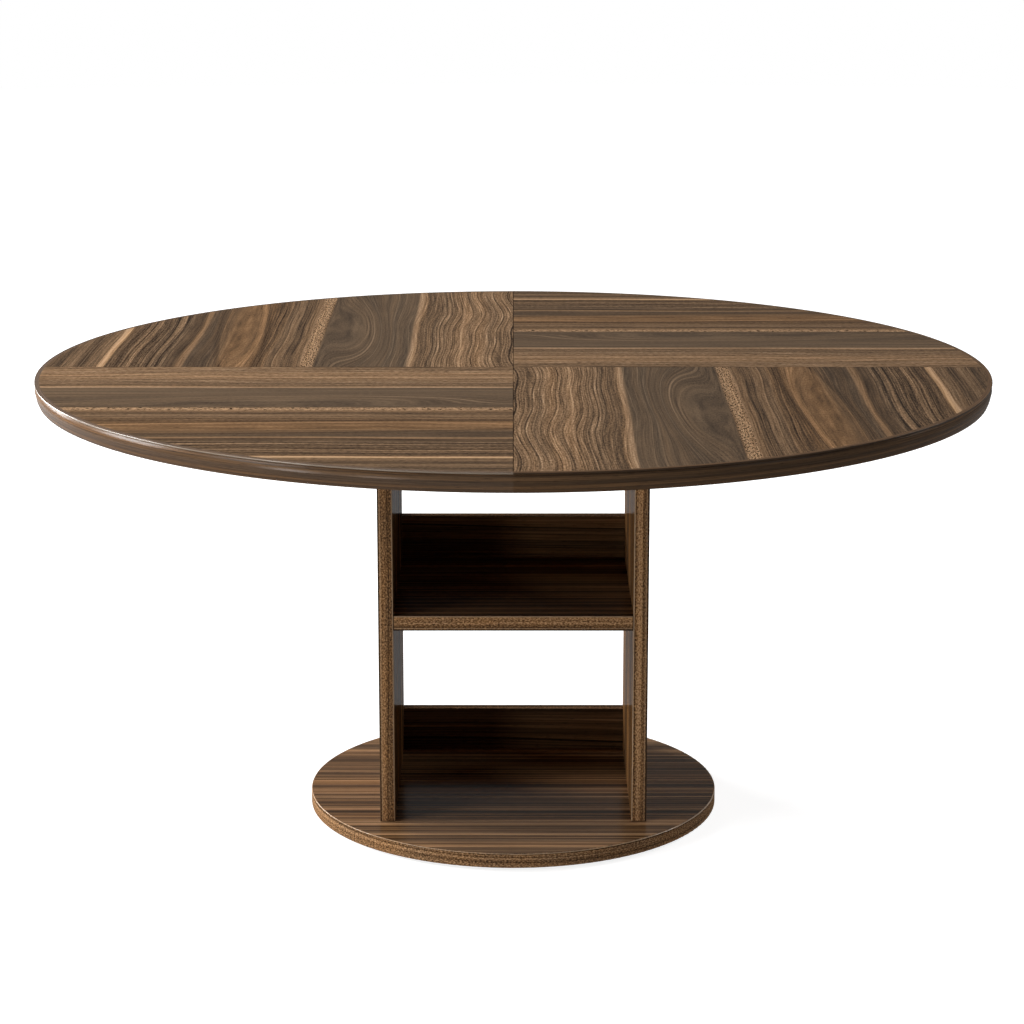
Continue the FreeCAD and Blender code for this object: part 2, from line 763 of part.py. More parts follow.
def cam_bores():
    """What is drilled for one cam joint in the board and in the panel."""
    open_face = "-Sizes.cam_axis_depth - Sizes.overrun"
    pocket = cylinder(
        "cam_pocket",
        drilled("Sizes.cam_diameter"),
        "Sizes.cam_height + Sizes.end_gap + Sizes.overrun",
        "Sizes.cam_inset",
        z=open_face,
    )
    way = cylinder("bolt_way", drilled("Sizes.bolt_head_diameter"), "Sizes.cam_inset", turn=ALONG_X)
    socket_length = "Sizes.bolt_in_panel + Sizes.end_gap"
    socket_start = f"-({socket_length})"
    socket_bore = drilled("Sizes.bolt_diameter")
    socket = cylinder("bolt_socket", socket_bore, socket_length, socket_start, turn=ALONG_X)
    return group("cam_bores", [pocket, way, socket])


def cam_places():
    """Name, place and turn of each cam joint: two at each end of the shelf, one at each end of a rail."""
    shelf_axis = f"{SHELF_LOW} + Sizes.cam_axis_depth"
    rail_axis = f"{BACK} - Sizes.cam_axis_depth"
    for end, end_name in ((-1, "left"), (1, "right")):
        face = f"{end} * {INNER}"
        inward = X_AXIS * -end
        for side, side_name in ((-1, "front"), (1, "back")):
            y = f"Sizes.pedestal_setback + {side * SHELF_CAM_SHARE} * Sizes.panel_depth"
            yield f"shelf_{side_name}_{end_name}", face, y, shelf_axis, frame_turn(inward, Y_AXIS * -end)
        for rail, low in (("shelf_rail", SHELF_TOP), ("base_rail", BASE_TOP)):
            z = f"{low} + Sizes.rail_height / 2"
            yield f"{rail}_{end_name}", face, rail_axis, z, frame_turn(inward, Z_AXIS * -end)


def end_dowel_places():
    """Name and place of each dowel at the ends of the shelf and the rails."""
    for end, end_name in ((-1, "left"), (1, "right")):
        start = f"-{INNER} - Sizes.dowel_in_panel"
        if end > 0:
            start = f"{INNER} + Sizes.dowel_in_panel - Sizes.dowel_length"
        for side, side_name in ((-1, "front"), (1, "back")):
            y = f"Sizes.pedestal_setback + {side * SHELF_DOWEL_SHARE} * Sizes.panel_depth"
            yield f"shelf_{side_name}_{end_name}", start, y, f"{SHELF_LOW} + Sizes.board / 2"
        for rail, low in (("shelf_rail", SHELF_TOP), ("base_rail", BASE_TOP)):
            z = f"{low} + {RAIL_DOWEL_SHARE} * Sizes.rail_height"
            yield f"{rail}_{end_name}", start, RAIL_MIDDLE_Y, z


def make_joinery():
    """Cams, bolts and dowels of the pedestal, and everything that is drilled for them."""
    cam = cam_lock()
    cam_centre = place(group("cam_centred", [cam]), "Sizes.cam_inset")
    bolt = cam_bolt()
    bores = cam_bores()
    pin = chamfered_dowel("end_pin", "Sizes.dowel_length")
    pin_hole = dowel_hole("end_pin_hole", "Sizes.dowel_length")
    cams = []
    bolts = []
    pins = []
    drillings = []
    for name, x, y, z, turn in cam_places():
        cams.append(copy_at(cam_centre, f"cam_{name}", x, y, z, turn))
        bolts.append(copy_at(bolt, f"bolt_{name}", x, y, z, turn))
        drillings.append(copy_at(bores, f"cam_bores_{name}", x, y, z, turn))
    for name, x, y, z in end_dowel_places():
        pins.append(copy_at(pin, f"pin_{name}", x, y, z, ALONG_X))
        drillings.append(copy_at(pin_hole, f"pin_hole_{name}", x, y, z, ALONG_X))
    keep(group("cam_locks", cams), "cam_locks")
    keep(group("cam_bolts", bolts), "cam_bolts")
    keep(group("end_dowels", pins), "end_dowels")
    return drillings


def countersunk_screw():
    """Long screw up local Z, its socketed head flush with the plane of the origin."""
    diameter = "Sizes.screw_diameter"
    head = cone("panel_screw_head", "Sizes.screw_head_diameter", diameter, "Sizes.screw_head_depth")
    shank = cylinder("panel_screw_shank", diameter, "Sizes.screw_length")
    socket = doc.addObject("Part::Prism", "panel_screw_socket")
    socket.Polygon = 6
    socket.setExpression("Circumradius", "Sizes.screw_socket_width / 2 / cos(30)")
    socket.setExpression("Height", "Sizes.screw_socket_depth + Sizes.overrun")
    place(socket, z="-Sizes.overrun")
    return cut("panel_screw", fuse("panel_screw_blank", [head, shank]), socket)


def countersunk_hole():
    """Countersunk hole of the long screw."""
    diameter = drilled("Sizes.screw_diameter")
    sink = cone("panel_screw_sink", drilled("Sizes.screw_head_diameter"), diameter, "Sizes.screw_head_depth")
    bore_length = "Sizes.screw_length + Sizes.end_gap + Sizes.overrun"
    bore = cylinder("panel_screw_bore", diameter, bore_length, z="-Sizes.overrun")
    return fuse("panel_screw_hole", [sink, bore])


def make_panel_screws():
    """Long screws from below: through the base into the side panels, and into both rails."""
    screw = countersunk_screw()
    hole = countersunk_hole()
    drillings = []
    panel_screws = []
    rail_screws = []
    panel_middle = f"({INNER} + Sizes.board / 2)"
    for side in (-1, 1):
        for index, share in enumerate(PANEL_SCREW_SHARES):
            name = f"{SIDE_NAMES[side]}_{index}"
            y = f"Sizes.pedestal_setback + {share} * Sizes.panel_depth"
            at = (f"{side} * {panel_middle}", y, BASE_LOW)
            panel_screws.append(copy_at(screw, f"panel_screw_{name}", *at))
            drillings.append(copy_at(hole, f"panel_screw_hole_{name}", *at))
        for rail, low in (("base", BASE_LOW), ("shelf", SHELF_LOW)):
            name = f"{rail}_{SIDE_NAMES[side]}"
            at = (f"{side * RAIL_SCREW_SHARE} * Sizes.inner_width", RAIL_MIDDLE_Y, low)
            rail_screws.append(copy_at(screw, f"rail_screw_{name}", *at))
            drillings.append(copy_at(hole, f"rail_screw_hole_{name}", *at))
    keep(group("panel_screws", panel_screws), "panel_screws")
    keep(group("rail_screws", rail_screws), "rail_screws")
    return drillings


# Boards of the pedestal and their edge bands.

def make_side_panels(holes):
    """Side panels, notched for the bearers, with bands on their front and back edges."""
    tool = group("side_panel_holes", holes)
    low = f"({FRONT} + Sizes.band)"
    high = f"({BACK} - Sizes.band)"
    notch = "(Sizes.bearer_board / 2 + Sizes.fit_gap)"
    notch_floor = "(Sizes.panel_height - Sizes.bearer_height)"
    near = "(-Sizes.bearer_spread / 2)"
    far = "(Sizes.bearer_spread / 2)"
    height = "Sizes.panel_height"
    corners = [(low, "0"), (high, "0"), (high, height)]
    for line in (far, near):
        corners += [
            (f"{line} + {notch}", height),
            (f"{line} + {notch}", notch_floor),
            (f"{line} - {notch}", notch_floor),
            (f"{line} - {notch}", height),
        ]
    corners.append((low, height))
    for side, name in (("left", f"-{INNER} - Sizes.board"), ("right", INNER)):
        label = f"side_panel_{side}"
        blank = padded(f"{label}_blank", "YZ_Plane", corners, "Sizes.board")
        place(blank, name, z=BASE_TOP)
        keep(cut(label, blank, tool), label)
        near_edge = f"{name} + Sizes.board"
        edge_band(f"{label}_front_band", "Sizes.board", height, near_edge, low, BASE_TOP, about_z(180))
        edge_band(f"{label}_back_band", "Sizes.board", height, name, high, BASE_TOP, about_z(0))


def make_shelf(holes):
    """Fixed shelf between the side panels, banded front and back."""
    start = f"-{SHELF_WIDTH} / 2"
    low = f"{FRONT} + Sizes.band"
    depth = "Sizes.panel_depth - 2 * Sizes.band"
    blank = box("shelf_blank", SHELF_WIDTH, depth, "Sizes.board", start, low, SHELF_LOW)
    keep(cut("shelf", blank, group("shelf_holes", holes)), "shelf")
    front_turn = frame_turn(Z_AXIS, Y_AXIS * -1)
    back_turn = frame_turn(Z_AXIS * -1, Y_AXIS)
    edge_band("shelf_front_band", "Sizes.board", SHELF_WIDTH, start, low, SHELF_LOW, front_turn)
    high = f"{BACK} - Sizes.band"
    edge_band("shelf_back_band", "Sizes.board", SHELF_WIDTH, start, high, SHELF_TOP, back_turn)


def make_rails(holes):
    """Low back rails on the shelf and on the base, each with a band along its top edge."""
    tool = group("rail_holes", holes)
    start = f"-{SHELF_WIDTH} / 2"
    near = f"{BACK} - Sizes.rail_board"
    core = "(Sizes.rail_height - Sizes.band)"
    for label, low in (("shelf_rail", SHELF_TOP), ("base_rail", BASE_TOP)):
        blank = box(f"{label}_blank", SHELF_WIDTH, "Sizes.rail_board", core, start, near, low)
        keep(cut(label, blank, tool), label)
        edge_band(f"{label}_band", "Sizes.rail_board", SHELF_WIDTH, start, near, f"{low} + {core}", ALONG_X)


# Round base and its levelling feet.

def foot_places():
    """Number and place of each foot on its circle."""
    reach = "(Sizes.base_diameter / 2 - Sizes.foot_inset)"
    for foot in range(FEET):
        angle = foot * 360 / FEET
        yield foot + 1, f"{reach} * cos({angle})", f"{reach} * sin({angle})"


def make_inserts():
    """Flanged threaded inserts, flush with the underside of the base, and their bores."""
    bore = "(Sizes.stem_diameter / 2 + Sizes.thread_gap)"
    flange = "(Sizes.insert_flange_diameter / 2)"
    barrel = "(Sizes.insert_diameter / 2)"
    corners = [
        (bore, "0"),
        (flange, "0"),
        (flange, "Sizes.insert_flange"),
        (barrel, "Sizes.insert_flange"),
        (barrel, "Sizes.insert_length"),
        (bore, "Sizes.insert_length"),
    ]
    insert = turned("foot_insert", corners)
    below = "-Sizes.overrun"
    well = cylinder(
        "insert_well",
        drilled("Sizes.insert_flange_diameter"),
        "Sizes.insert_flange + Sizes.hole_gap + Sizes.overrun",
        z=below,
    )
    barrel_bore = cylinder(
        "insert_bore",
        drilled("Sizes.insert_diameter"),
        "Sizes.insert_length + Sizes.hole_gap + Sizes.overrun",
        z=below,
    )
    stem_bore = cylinder(
        "stem_bore",
        drilled("Sizes.stem_diameter"),
        "Sizes.stem_length + Sizes.end_gap + Sizes.overrun",
        z=below,
    )
    hole = fuse("insert_hole", [well, barrel_bore, stem_bore])
    inserts = []
    holes = []
    for foot, x, y in foot_places():
        inserts.append(copy_at(insert, f"insert_{foot}", x, y, BASE_LOW))
        holes.append(copy_at(hole, f"insert_hole_{foot}", x, y, BASE_LOW))
    keep(group("foot_inserts", inserts), "foot_inserts")
    return holes


def make_base(holes):
    """Round base board in its rim band."""
    core = "Sizes.base_diameter - 2 * (Sizes.band + Sizes.glue_line)"
    blank = cylinder("base_blank", core, "Sizes.board", z=BASE_LOW)
    keep(cut("base_disc", blank, group("base_holes", holes)), "base_disc")
    outer = "(Sizes.base_diameter / 2)"
    inner = f"({outer} - Sizes.band)"
    ease = "Sizes.band_round"
    corners = [
        (inner, "0"),
        (f"{outer} - {ease}", "0"),
        (outer, ease),
        (outer, f"Sizes.board - {ease}"),
        (f"{outer} - {ease}", "Sizes.board"),
        (inner, "Sizes.board"),
    ]
    ring = turned("base_rim_band", corners, {1: ease, 3: ease})
    keep(place(ring, z=BASE_LOW), "base_rim_band")


def make_feet():
    """Swivel pads and the hexagon-collared stems that turn in them and in the inserts."""
    pad_edge = "(Sizes.pad_diameter / 2)"
    socket = "(Sizes.spigot_diameter / 2 + Sizes.spigot_gap)"
    socket_floor = "(Sizes.pad_height - Sizes.spigot_depth - Sizes.spigot_gap)"
    corners = [
        ("0", "0"),
        (f"{pad_edge} - Sizes.pad_chamfer / 2", "0"),
        (pad_edge, "Sizes.pad_chamfer / 2"),
        (pad_edge, "Sizes.pad_height - Sizes.pad_chamfer"),
        (f"{pad_edge} - Sizes.pad_chamfer", "Sizes.pad_height"),
        (socket, "Sizes.pad_height"),
        (socket, socket_floor),
        ("0", socket_floor),
    ]
    pad = turned("pad_master", corners)
    spigot_foot = "Sizes.pad_height - Sizes.spigot_depth"
    spigot = cylinder("stem_spigot", "Sizes.spigot_diameter", "Sizes.spigot_depth", z=spigot_foot)
    collar = doc.addObject("Part::Prism", "stem_collar")
    collar.Polygon = 6
    collar.setExpression("Circumradius", "Sizes.hex_width / 2 / cos(30)")
    collar.setExpression("Height", "Sizes.hex_height")
    place(collar, z="Sizes.pad_height")
    shank = cylinder("stem_shank", "Sizes.stem_diameter", "Sizes.stem_length", z=BASE_LOW)
    stem = fuse("stem_master", [spigot, collar, shank])
    for foot, x, y in foot_places():
        keep(copy_at(pad, f"foot_pad_{foot}", x, y), f"foot_pad_{foot}")
        keep(copy_at(stem, f"foot_stem_{foot}", x, y), f"foot_stem_{foot}")


def check_and_write():
    """Stops on any failed object or bad shape, then writes one file for each sub-part."""
    doc.recompute()
    failed = [item.Label for item in doc.Objects if {"Invalid", "Error"} & set(item.State)]
    bad = [item.Label for item in subparts if item.Shape.isNull() or not item.Shape.isValid()]
    if failed or bad:
        raise RuntimeError(f"failed objects {failed}, bad shapes {bad}")
    os.makedirs("parts", exist_ok=True)
    for item in subparts:
        item.Shape.exportStep(f"parts/{item.Label}.step")
        print(item.Label, len(item.Shape.Solids), "solids", round(item.Shape.Volume / 1000, 2), "cm3")


seam_holes = make_seam_dowels()
plate_pilots = make_seam_plates()
bearer_holes = make_bearer_screws()
make_top(seam_holes + plate_pilots + bearer_holes)
bracket_pilots = make_brackets()
make_bearers(bearer_holes + bracket_pilots)
joint_bores = make_joinery()
screw_holes = make_panel_screws()
make_side_panels(joint_bores + screw_holes + bracket_pilots)
make_shelf(joint_bores + screw_holes)
make_rails(joint_bores + screw_holes)
make_base(make_inserts() + screw_holes)
make_feet()
check_and_write()
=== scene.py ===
"""Round pedestal dining table: its finishes, threaded feet, floor, lamps and camera."""

import logging
import math
from abc import ABC, abstractmethod
from collections.abc import Iterable, Iterator
from contextlib import contextmanager
from dataclasses import dataclass, field
from enum import Enum
from typing import ClassVar

import bpy
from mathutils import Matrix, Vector


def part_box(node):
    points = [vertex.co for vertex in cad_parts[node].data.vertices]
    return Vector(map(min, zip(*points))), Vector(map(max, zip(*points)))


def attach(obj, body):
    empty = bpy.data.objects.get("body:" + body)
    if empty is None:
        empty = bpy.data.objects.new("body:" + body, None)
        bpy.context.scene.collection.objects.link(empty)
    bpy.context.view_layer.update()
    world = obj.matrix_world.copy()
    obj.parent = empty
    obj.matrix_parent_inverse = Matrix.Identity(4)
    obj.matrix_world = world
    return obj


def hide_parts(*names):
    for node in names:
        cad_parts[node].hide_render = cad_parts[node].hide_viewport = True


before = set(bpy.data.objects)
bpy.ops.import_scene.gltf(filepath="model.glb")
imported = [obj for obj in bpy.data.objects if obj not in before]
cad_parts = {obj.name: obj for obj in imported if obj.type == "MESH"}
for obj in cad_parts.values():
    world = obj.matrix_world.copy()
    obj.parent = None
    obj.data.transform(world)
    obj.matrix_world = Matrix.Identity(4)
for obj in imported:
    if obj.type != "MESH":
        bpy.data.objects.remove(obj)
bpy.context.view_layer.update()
LOG = logging.getLogger("pedestal_table")

METRE = 1000.0  # in millimetres
MILLIMETRE = 0.001  # in metres
MIDDLE = (0.0, 0.0, 0.0)
FLOAT = "NodeSocketFloat"
COLOUR = "NodeSocketColor"

Colour = tuple[float, float, float]
Place = tuple[float, float, float]
Pair = tuple[float, float]
Stops = list[tuple[float, tuple[float, ...]]]
Parts = dict[str, "Signal"]
Weights = dict[str, float]


class Signal:
    """A quantity that varies over a surface; sums and products of signals become math nodes."""

    def __init__(self, sheet: "Sheet", socket: bpy.types.NodeSocket) -> None:
        """Keeps the socket that carries the quantity."""
        self.sheet = sheet
        self.socket = socket

    def __add__(self, other: "Signal | float") -> "Signal":
        """Adds another signal or a number."""
        return self.sheet.math("ADD", self, other)

    def __sub__(self, other: "Signal | float") -> "Signal":
        """Takes another signal or a number away."""
        return self.sheet.math("SUBTRACT", self, other)

    def __mul__(self, other: "Signal | float") -> "Signal":
        """Multiplies by another signal or a number."""
        return self.sheet.math("MULTIPLY", self, other)

    def whole(self) -> "Signal":
        """Rounds down to a whole number."""
        return self.sheet.math("FLOOR", self)

    def size(self) -> "Signal":
        """Drops the sign."""
        return self.sheet.math("ABSOLUTE", self)

    def or_more(self, other: "Signal") -> "Signal":
        """Gives the larger of two signals."""
        return self.sheet.math("MAXIMUM", self, other)

    def rise(self, low: float, high: float) -> "Signal":
        """Goes smoothly from 0 where the signal is low to 1 where it is high.

        Args:
            low: Value of the signal that gives 0.
            high: Value of the signal that gives 1; below low it makes the mask fall instead.

        Returns:
            A mask from 0 to 1.
        """
        node = self.sheet.add("ShaderNodeMapRange", interpolation_type="SMOOTHSTEP")
        self.sheet.feed(node.inputs["Value"], self)
        limits = {"From Min": low, "From Max": high, "To Min": 0.0, "To Max": 1.0}
        for name, value in limits.items():
            node.inputs[name].default_value = value
        return Signal(self.sheet, node.outputs["Result"])


class Sheet:
    """A node tree that is being laid out, of a material or of a group that materials share."""

    # Sockets of the mix node that carry colours.
    MIX_FIRST = 6
    MIX_SECOND = 7
    MIX_RESULT = 2

    def __init__(self, tree: bpy.types.NodeTree) -> None:
        """Keeps the tree that the nodes go into."""
        self.tree = tree

    def add(self, kind: str, **settings: object) -> bpy.types.Node:
        """Adds a node and sets its properties.

        Args:
            kind: Type of the node.
            settings: Its properties by name.

        Returns:
            The node.
        """
        node = self.tree.nodes.new(kind)
        for name, value in settings.items():
            setattr(node, name, value)
        return node

    def feed(self, socket: bpy.types.NodeSocket, value: object) -> None:
        """Links a signal to a socket, or sets the socket to a plain value.

        Args:
            socket: Socket of a node in the sheet.
            value: Signal or plain value.
        """
        if isinstance(value, Signal):
            self.tree.links.new(value.socket, socket)
        else:
            socket.default_value = value

    def lead(self, node: bpy.types.Node, socket: bpy.types.NodeSocket) -> None:
        """Links a node's first output to a socket."""
        self.tree.links.new(node.outputs[0], socket)

    def math(self, operation: str, first: object, second: object = 0.0) -> Signal:
        """Combines two values by one math node.

        Args:
            operation: What the node does.
            first: Signal or number.
            second: Signal or number.

        Returns:
            The result.
        """
        node = self.add("ShaderNodeMath", operation=operation)
        self.feed(node.inputs[0], first)
        self.feed(node.inputs[1], second)
        return Signal(self, node.outputs[0])

    def radius(self, x: Signal, y: Signal) -> Signal:
        """Gives the length of a vector of two parts."""
        return self.math("SQRT", x * x + y * y)

    def split(self, vector: Signal) -> tuple[Signal, Signal, Signal]:
        """Takes a vector apart into its three values.

        Args:
            vector: The vector.

        Returns:
            Its x, y and z.
        """
        node = self.add("ShaderNodeSeparateXYZ")
        self.feed(node.inputs[0], vector)
        return tuple(Signal(self, socket) for socket in node.outputs)

    def place(self, turn: float = 0.0) -> tuple[Signal, Signal, Signal]:
        """Gives the piece's own coordinates in metres, turned about the upright axis.

        Args:
            turn: Angle in degrees.

        Returns:
            The three coordinates.
        """
        source = Signal(self, self.add("ShaderNodeTexCoord").outputs["Object"])
        if not turn:
            return self.split(source)
        mapping = self.add("ShaderNodeMapping")
        self.feed(mapping.inputs["Vector"], source)
        mapping.inputs["Rotation"].default_value = (0.0, 0.0, math.radians(turn))
        return self.split(Signal(self, mapping.outputs[0]))

    def normal(self) -> tuple[Signal, Signal, Signal]:
        """Gives the three parts of the direction that the surface faces."""
        return self.split(Signal(self, self.add("ShaderNodeNewGeometry").outputs["Normal"]))

    def noise(self, across: Signal, along: Signal, detail: float, roughness: float) -> Signal:
        """Gives soft noise about zero over coordinates that are already at the noise's scale.

        Args:
            across: First coordinate, one unit to a cell.
            along: Second coordinate, one unit to a cell.
            detail: Number of finer layers.
            roughness: Strength of each finer layer.

        Returns:
            The noise, mostly between -0.3 and 0.3.
        """
        place = self.add("ShaderNodeCombineXYZ")
        self.feed(place.inputs[0], across)
        self.feed(place.inputs[1], along)
        node = self.add("ShaderNodeTexNoise", noise_dimensions="2D")
        self.lead(place, node.inputs["Vector"])
        for name, value in (("Scale", 1.0), ("Detail", detail), ("Roughness", roughness)):
            node.inputs[name].default_value = value
        return Signal(self, node.outputs[0]) - 0.5

    def lot(self, number: Signal) -> Signal:
        """Draws a number from 0 to 1 for each whole number, always the same one.

        Args:
            number: Whole number.

        Returns:
            The number that is drawn for it.
        """
        node = self.add("ShaderNodeTexWhiteNoise", noise_dimensions="1D")
        self.feed(node.inputs["W"], number)
        return Signal(self, node.outputs["Value"])

    @staticmethod
    def total(parts: Parts, weights: Weights) -> Signal:
        """Adds up the parts that the weights name, each times its weight."""
        first, *others = (parts[name] * weight for name, weight in weights.items())
        return sum(others, first)

    def ramp(self, factor: Signal, stops: Stops) -> tuple[Signal, Signal]:
        """Turns a value into a colour that runs through a few stops.

        Args:
            factor: Value that is looked up.
            stops: Place from 0 to 1 and colour, with an optional fourth number, of each stop.

        Returns:
            The colour, and the fourth number as a signal of its own.
        """
        node = self.add("ShaderNodeValToRGB")
        self.feed(node.inputs[0], factor)
        elements = node.color_ramp.elements
        while len(elements) < len(stops):
            elements.new(0.5)
        for element, (position, colour) in zip(elements, stops):
            element.position = position
            element.color = (*colour[:3], colour[3] if len(colour) > 3 else 1.0)
        return Signal(self, node.outputs["Color"]), Signal(self, node.outputs["Alpha"])

    def blend(
        self, factor: object, first: object, second: object, mode: str = "MIX", limited: bool = True
    ) -> Signal:
        """Mixes two colours.

        Args:
            factor: Share of the second colour.
            first: Colour signal, or three numbers.
            second: Colour signal, or three numbers.
            mode: How the second colour acts on the first.
            limited: Whether the share stays between 0 and 1.

        Returns:
            The mixed colour.
        """
        node = self.add("ShaderNodeMix", data_type="RGBA", blend_type=mode, clamp_factor=limited)
        self.feed(node.inputs[0], factor)
        for place, colour in ((self.MIX_FIRST, first), (self.MIX_SECOND, second)):
            self.feed(node.inputs[place], colour if isinstance(colour, Signal) else (*colour, 1.0))
        return Signal(self, node.outputs[self.MIX_RESULT])


@dataclass(frozen=True)
class Cloud:
    """Soft unevenness of a surface.

    Attributes:
        across: Number of its cells to a unit across the grain.
        along: Number of its cells to a unit along the grain.
        strength: What it is multiplied by.
        detail: Number of finer layers in it.
        roughness: Strength of each finer layer.
    """

    across: float
    along: float
    strength: float = 1.0
    detail: float = 1.0
    roughness: float = 0.5

    def over(self, sheet: Sheet, across: Signal, along: Signal) -> Signal:
        """Gives the unevenness, about zero, over coordinates across and along the grain."""
        cells = across * self.across, along * self.along
        return sheet.noise(*cells, self.detail, self.roughness) * self.strength


class Effect(ABC):
    """A shader node group with named inputs and outputs, built once and placed in materials."""

    name: str
    inputs: tuple[tuple[str, float], ...]
    outputs: tuple[tuple[str, str], ...]

    @abstractmethod
    def draw(self, sheet: Sheet, values: Parts) -> Parts:
        """Lays out the group's nodes.

        Args:
            sheet: Sheet of the group's tree.
            values: The group's inputs by name.

        Returns:
            The group's outputs by name.
        """

    def tree(self) -> bpy.types.NodeTree:
        """Gives the group's tree, and builds it when it is first asked for.

        Returns:
            The tree.
        """
        known = bpy.data.node_groups.get(self.name)
        if known:
            return known
        tree = bpy.data.node_groups.new(self.name, "ShaderNodeTree")
        for name, value in self.inputs:
            socket = tree.interface.new_socket(name=name, in_out="INPUT", socket_type=FLOAT)
            socket.default_value = value
        for name, kind in self.outputs:
            tree.interface.new_socket(name=name, in_out="OUTPUT", socket_type=kind)
        sheet = Sheet(tree)
        start = sheet.add("NodeGroupInput")
        end = sheet.add("NodeGroupOutput")
        values = {name: Signal(sheet, start.outputs[name]) for name, _ in self.inputs}
        for name, signal in self.draw(sheet, values).items():
            sheet.feed(end.inputs[name], signal)
        LOG.info("node group %s: %d nodes", self.name, len(tree.nodes))
        return tree

    def put(self, sheet: Sheet, **values: object) -> Parts:
        """Places the group in a sheet.

        Args:
            sheet: Sheet of the material or group that uses it.
            values: Signals or numbers for the group's inputs, by name.

        Returns:
            The group's outputs by name.
        """
        node = sheet.add("ShaderNodeGroup", node_tree=self.tree())
        for name, value in values.items():
            sheet.feed(node.inputs[name], value)
        return {name: Signal(sheet, node.outputs[name]) for name, _ in self.outputs}


class WalnutTone(Effect):
    """Turns a tone from dark to light, and a warmth, into walnut brown."""

    name = "walnut_tone"
    inputs = (("tone", 0.5), ("warmth", 0.5))
    outputs = (("colour", COLOUR),)
    STOPS = [
        (0.0, (0.017, 0.0095, 0.0048)),
        (0.25, (0.062, 0.039, 0.023)),
        (0.5, (0.140, 0.086, 0.047)),
        (0.75, (0.258, 0.161, 0.091)),
        (1.0, (0.440, 0.300, 0.183)),
    ]
    WARM = (1.07, 0.955, 0.83)
    COOL = (0.93, 1.0, 1.10)

    def draw(self, sheet: Sheet, values: Parts) -> Parts:
        """Looks the tone up and tints it by the warmth.

        Args:
            sheet: Sheet of the group's tree.
            values: The group's inputs by name.

        Returns:
            The group's outputs by name.
        """
        colour, _ = sheet.ramp(values["tone"], self.STOPS)
        tint = sheet.blend(values["warmth"], self.COOL, self.WARM, limited=False)
        return {"colour": sheet.blend(1.0, colour, tint, "MULTIPLY")}


class PoreFlecks(Effect):
    """Short open pores that lie along the grain."""

    name = "pore_flecks"
    inputs = (
        ("across", 0.0),
        ("along", 0.0),
        ("per_metre_across", 700.0),
        ("per_metre_along", 55.0),
        ("share", 0.5),
    )
    outputs = (("mask", FLOAT),)
    FEWEST = 0.30
    MOST = 0.02
    SHARPNESS = 12.0
    DETAIL = 1.0
    ROUGHNESS = 0.6

    def draw(self, sheet: Sheet, values: Parts) -> Parts:
        """Cuts stretched noise off at a level that follows the share of pores.

        Args:
            sheet: Sheet of the group's tree.
            values: The group's inputs by name.

        Returns:
            The group's outputs by name.
        """
        across = values["across"] * values["per_metre_across"]
        along = values["along"] * values["per_metre_along"]
        grain = sheet.noise(across, along, self.DETAIL, self.ROUGHNESS)
        level = values["share"] * (self.MOST - self.FEWEST) + self.FEWEST
        return {"mask": ((grain - level) * self.SHARPNESS).rise(0.0, 1.0)}

    def mask(
        self, sheet: Sheet, across: Signal, along: Signal, cells: Pair, share: object
    ) -> Signal:
        """Places the pores in a sheet.

        Args:
            sheet: Sheet of the material or group that uses them.
            across: Coordinate across the grain in metres.
            along: Coordinate along the grain in metres.
            cells: Number of places for a pore in a metre across and in a metre along.
            share: How many of the places hold a pore, from 0 to 1.

        Returns:
            A mask that is 1 in the pores.
        """
        scale = {"per_metre_across": cells[0], "per_metre_along": cells[1]}
        return self.put(sheet, across=across, along=along, share=share, **scale)["mask"]


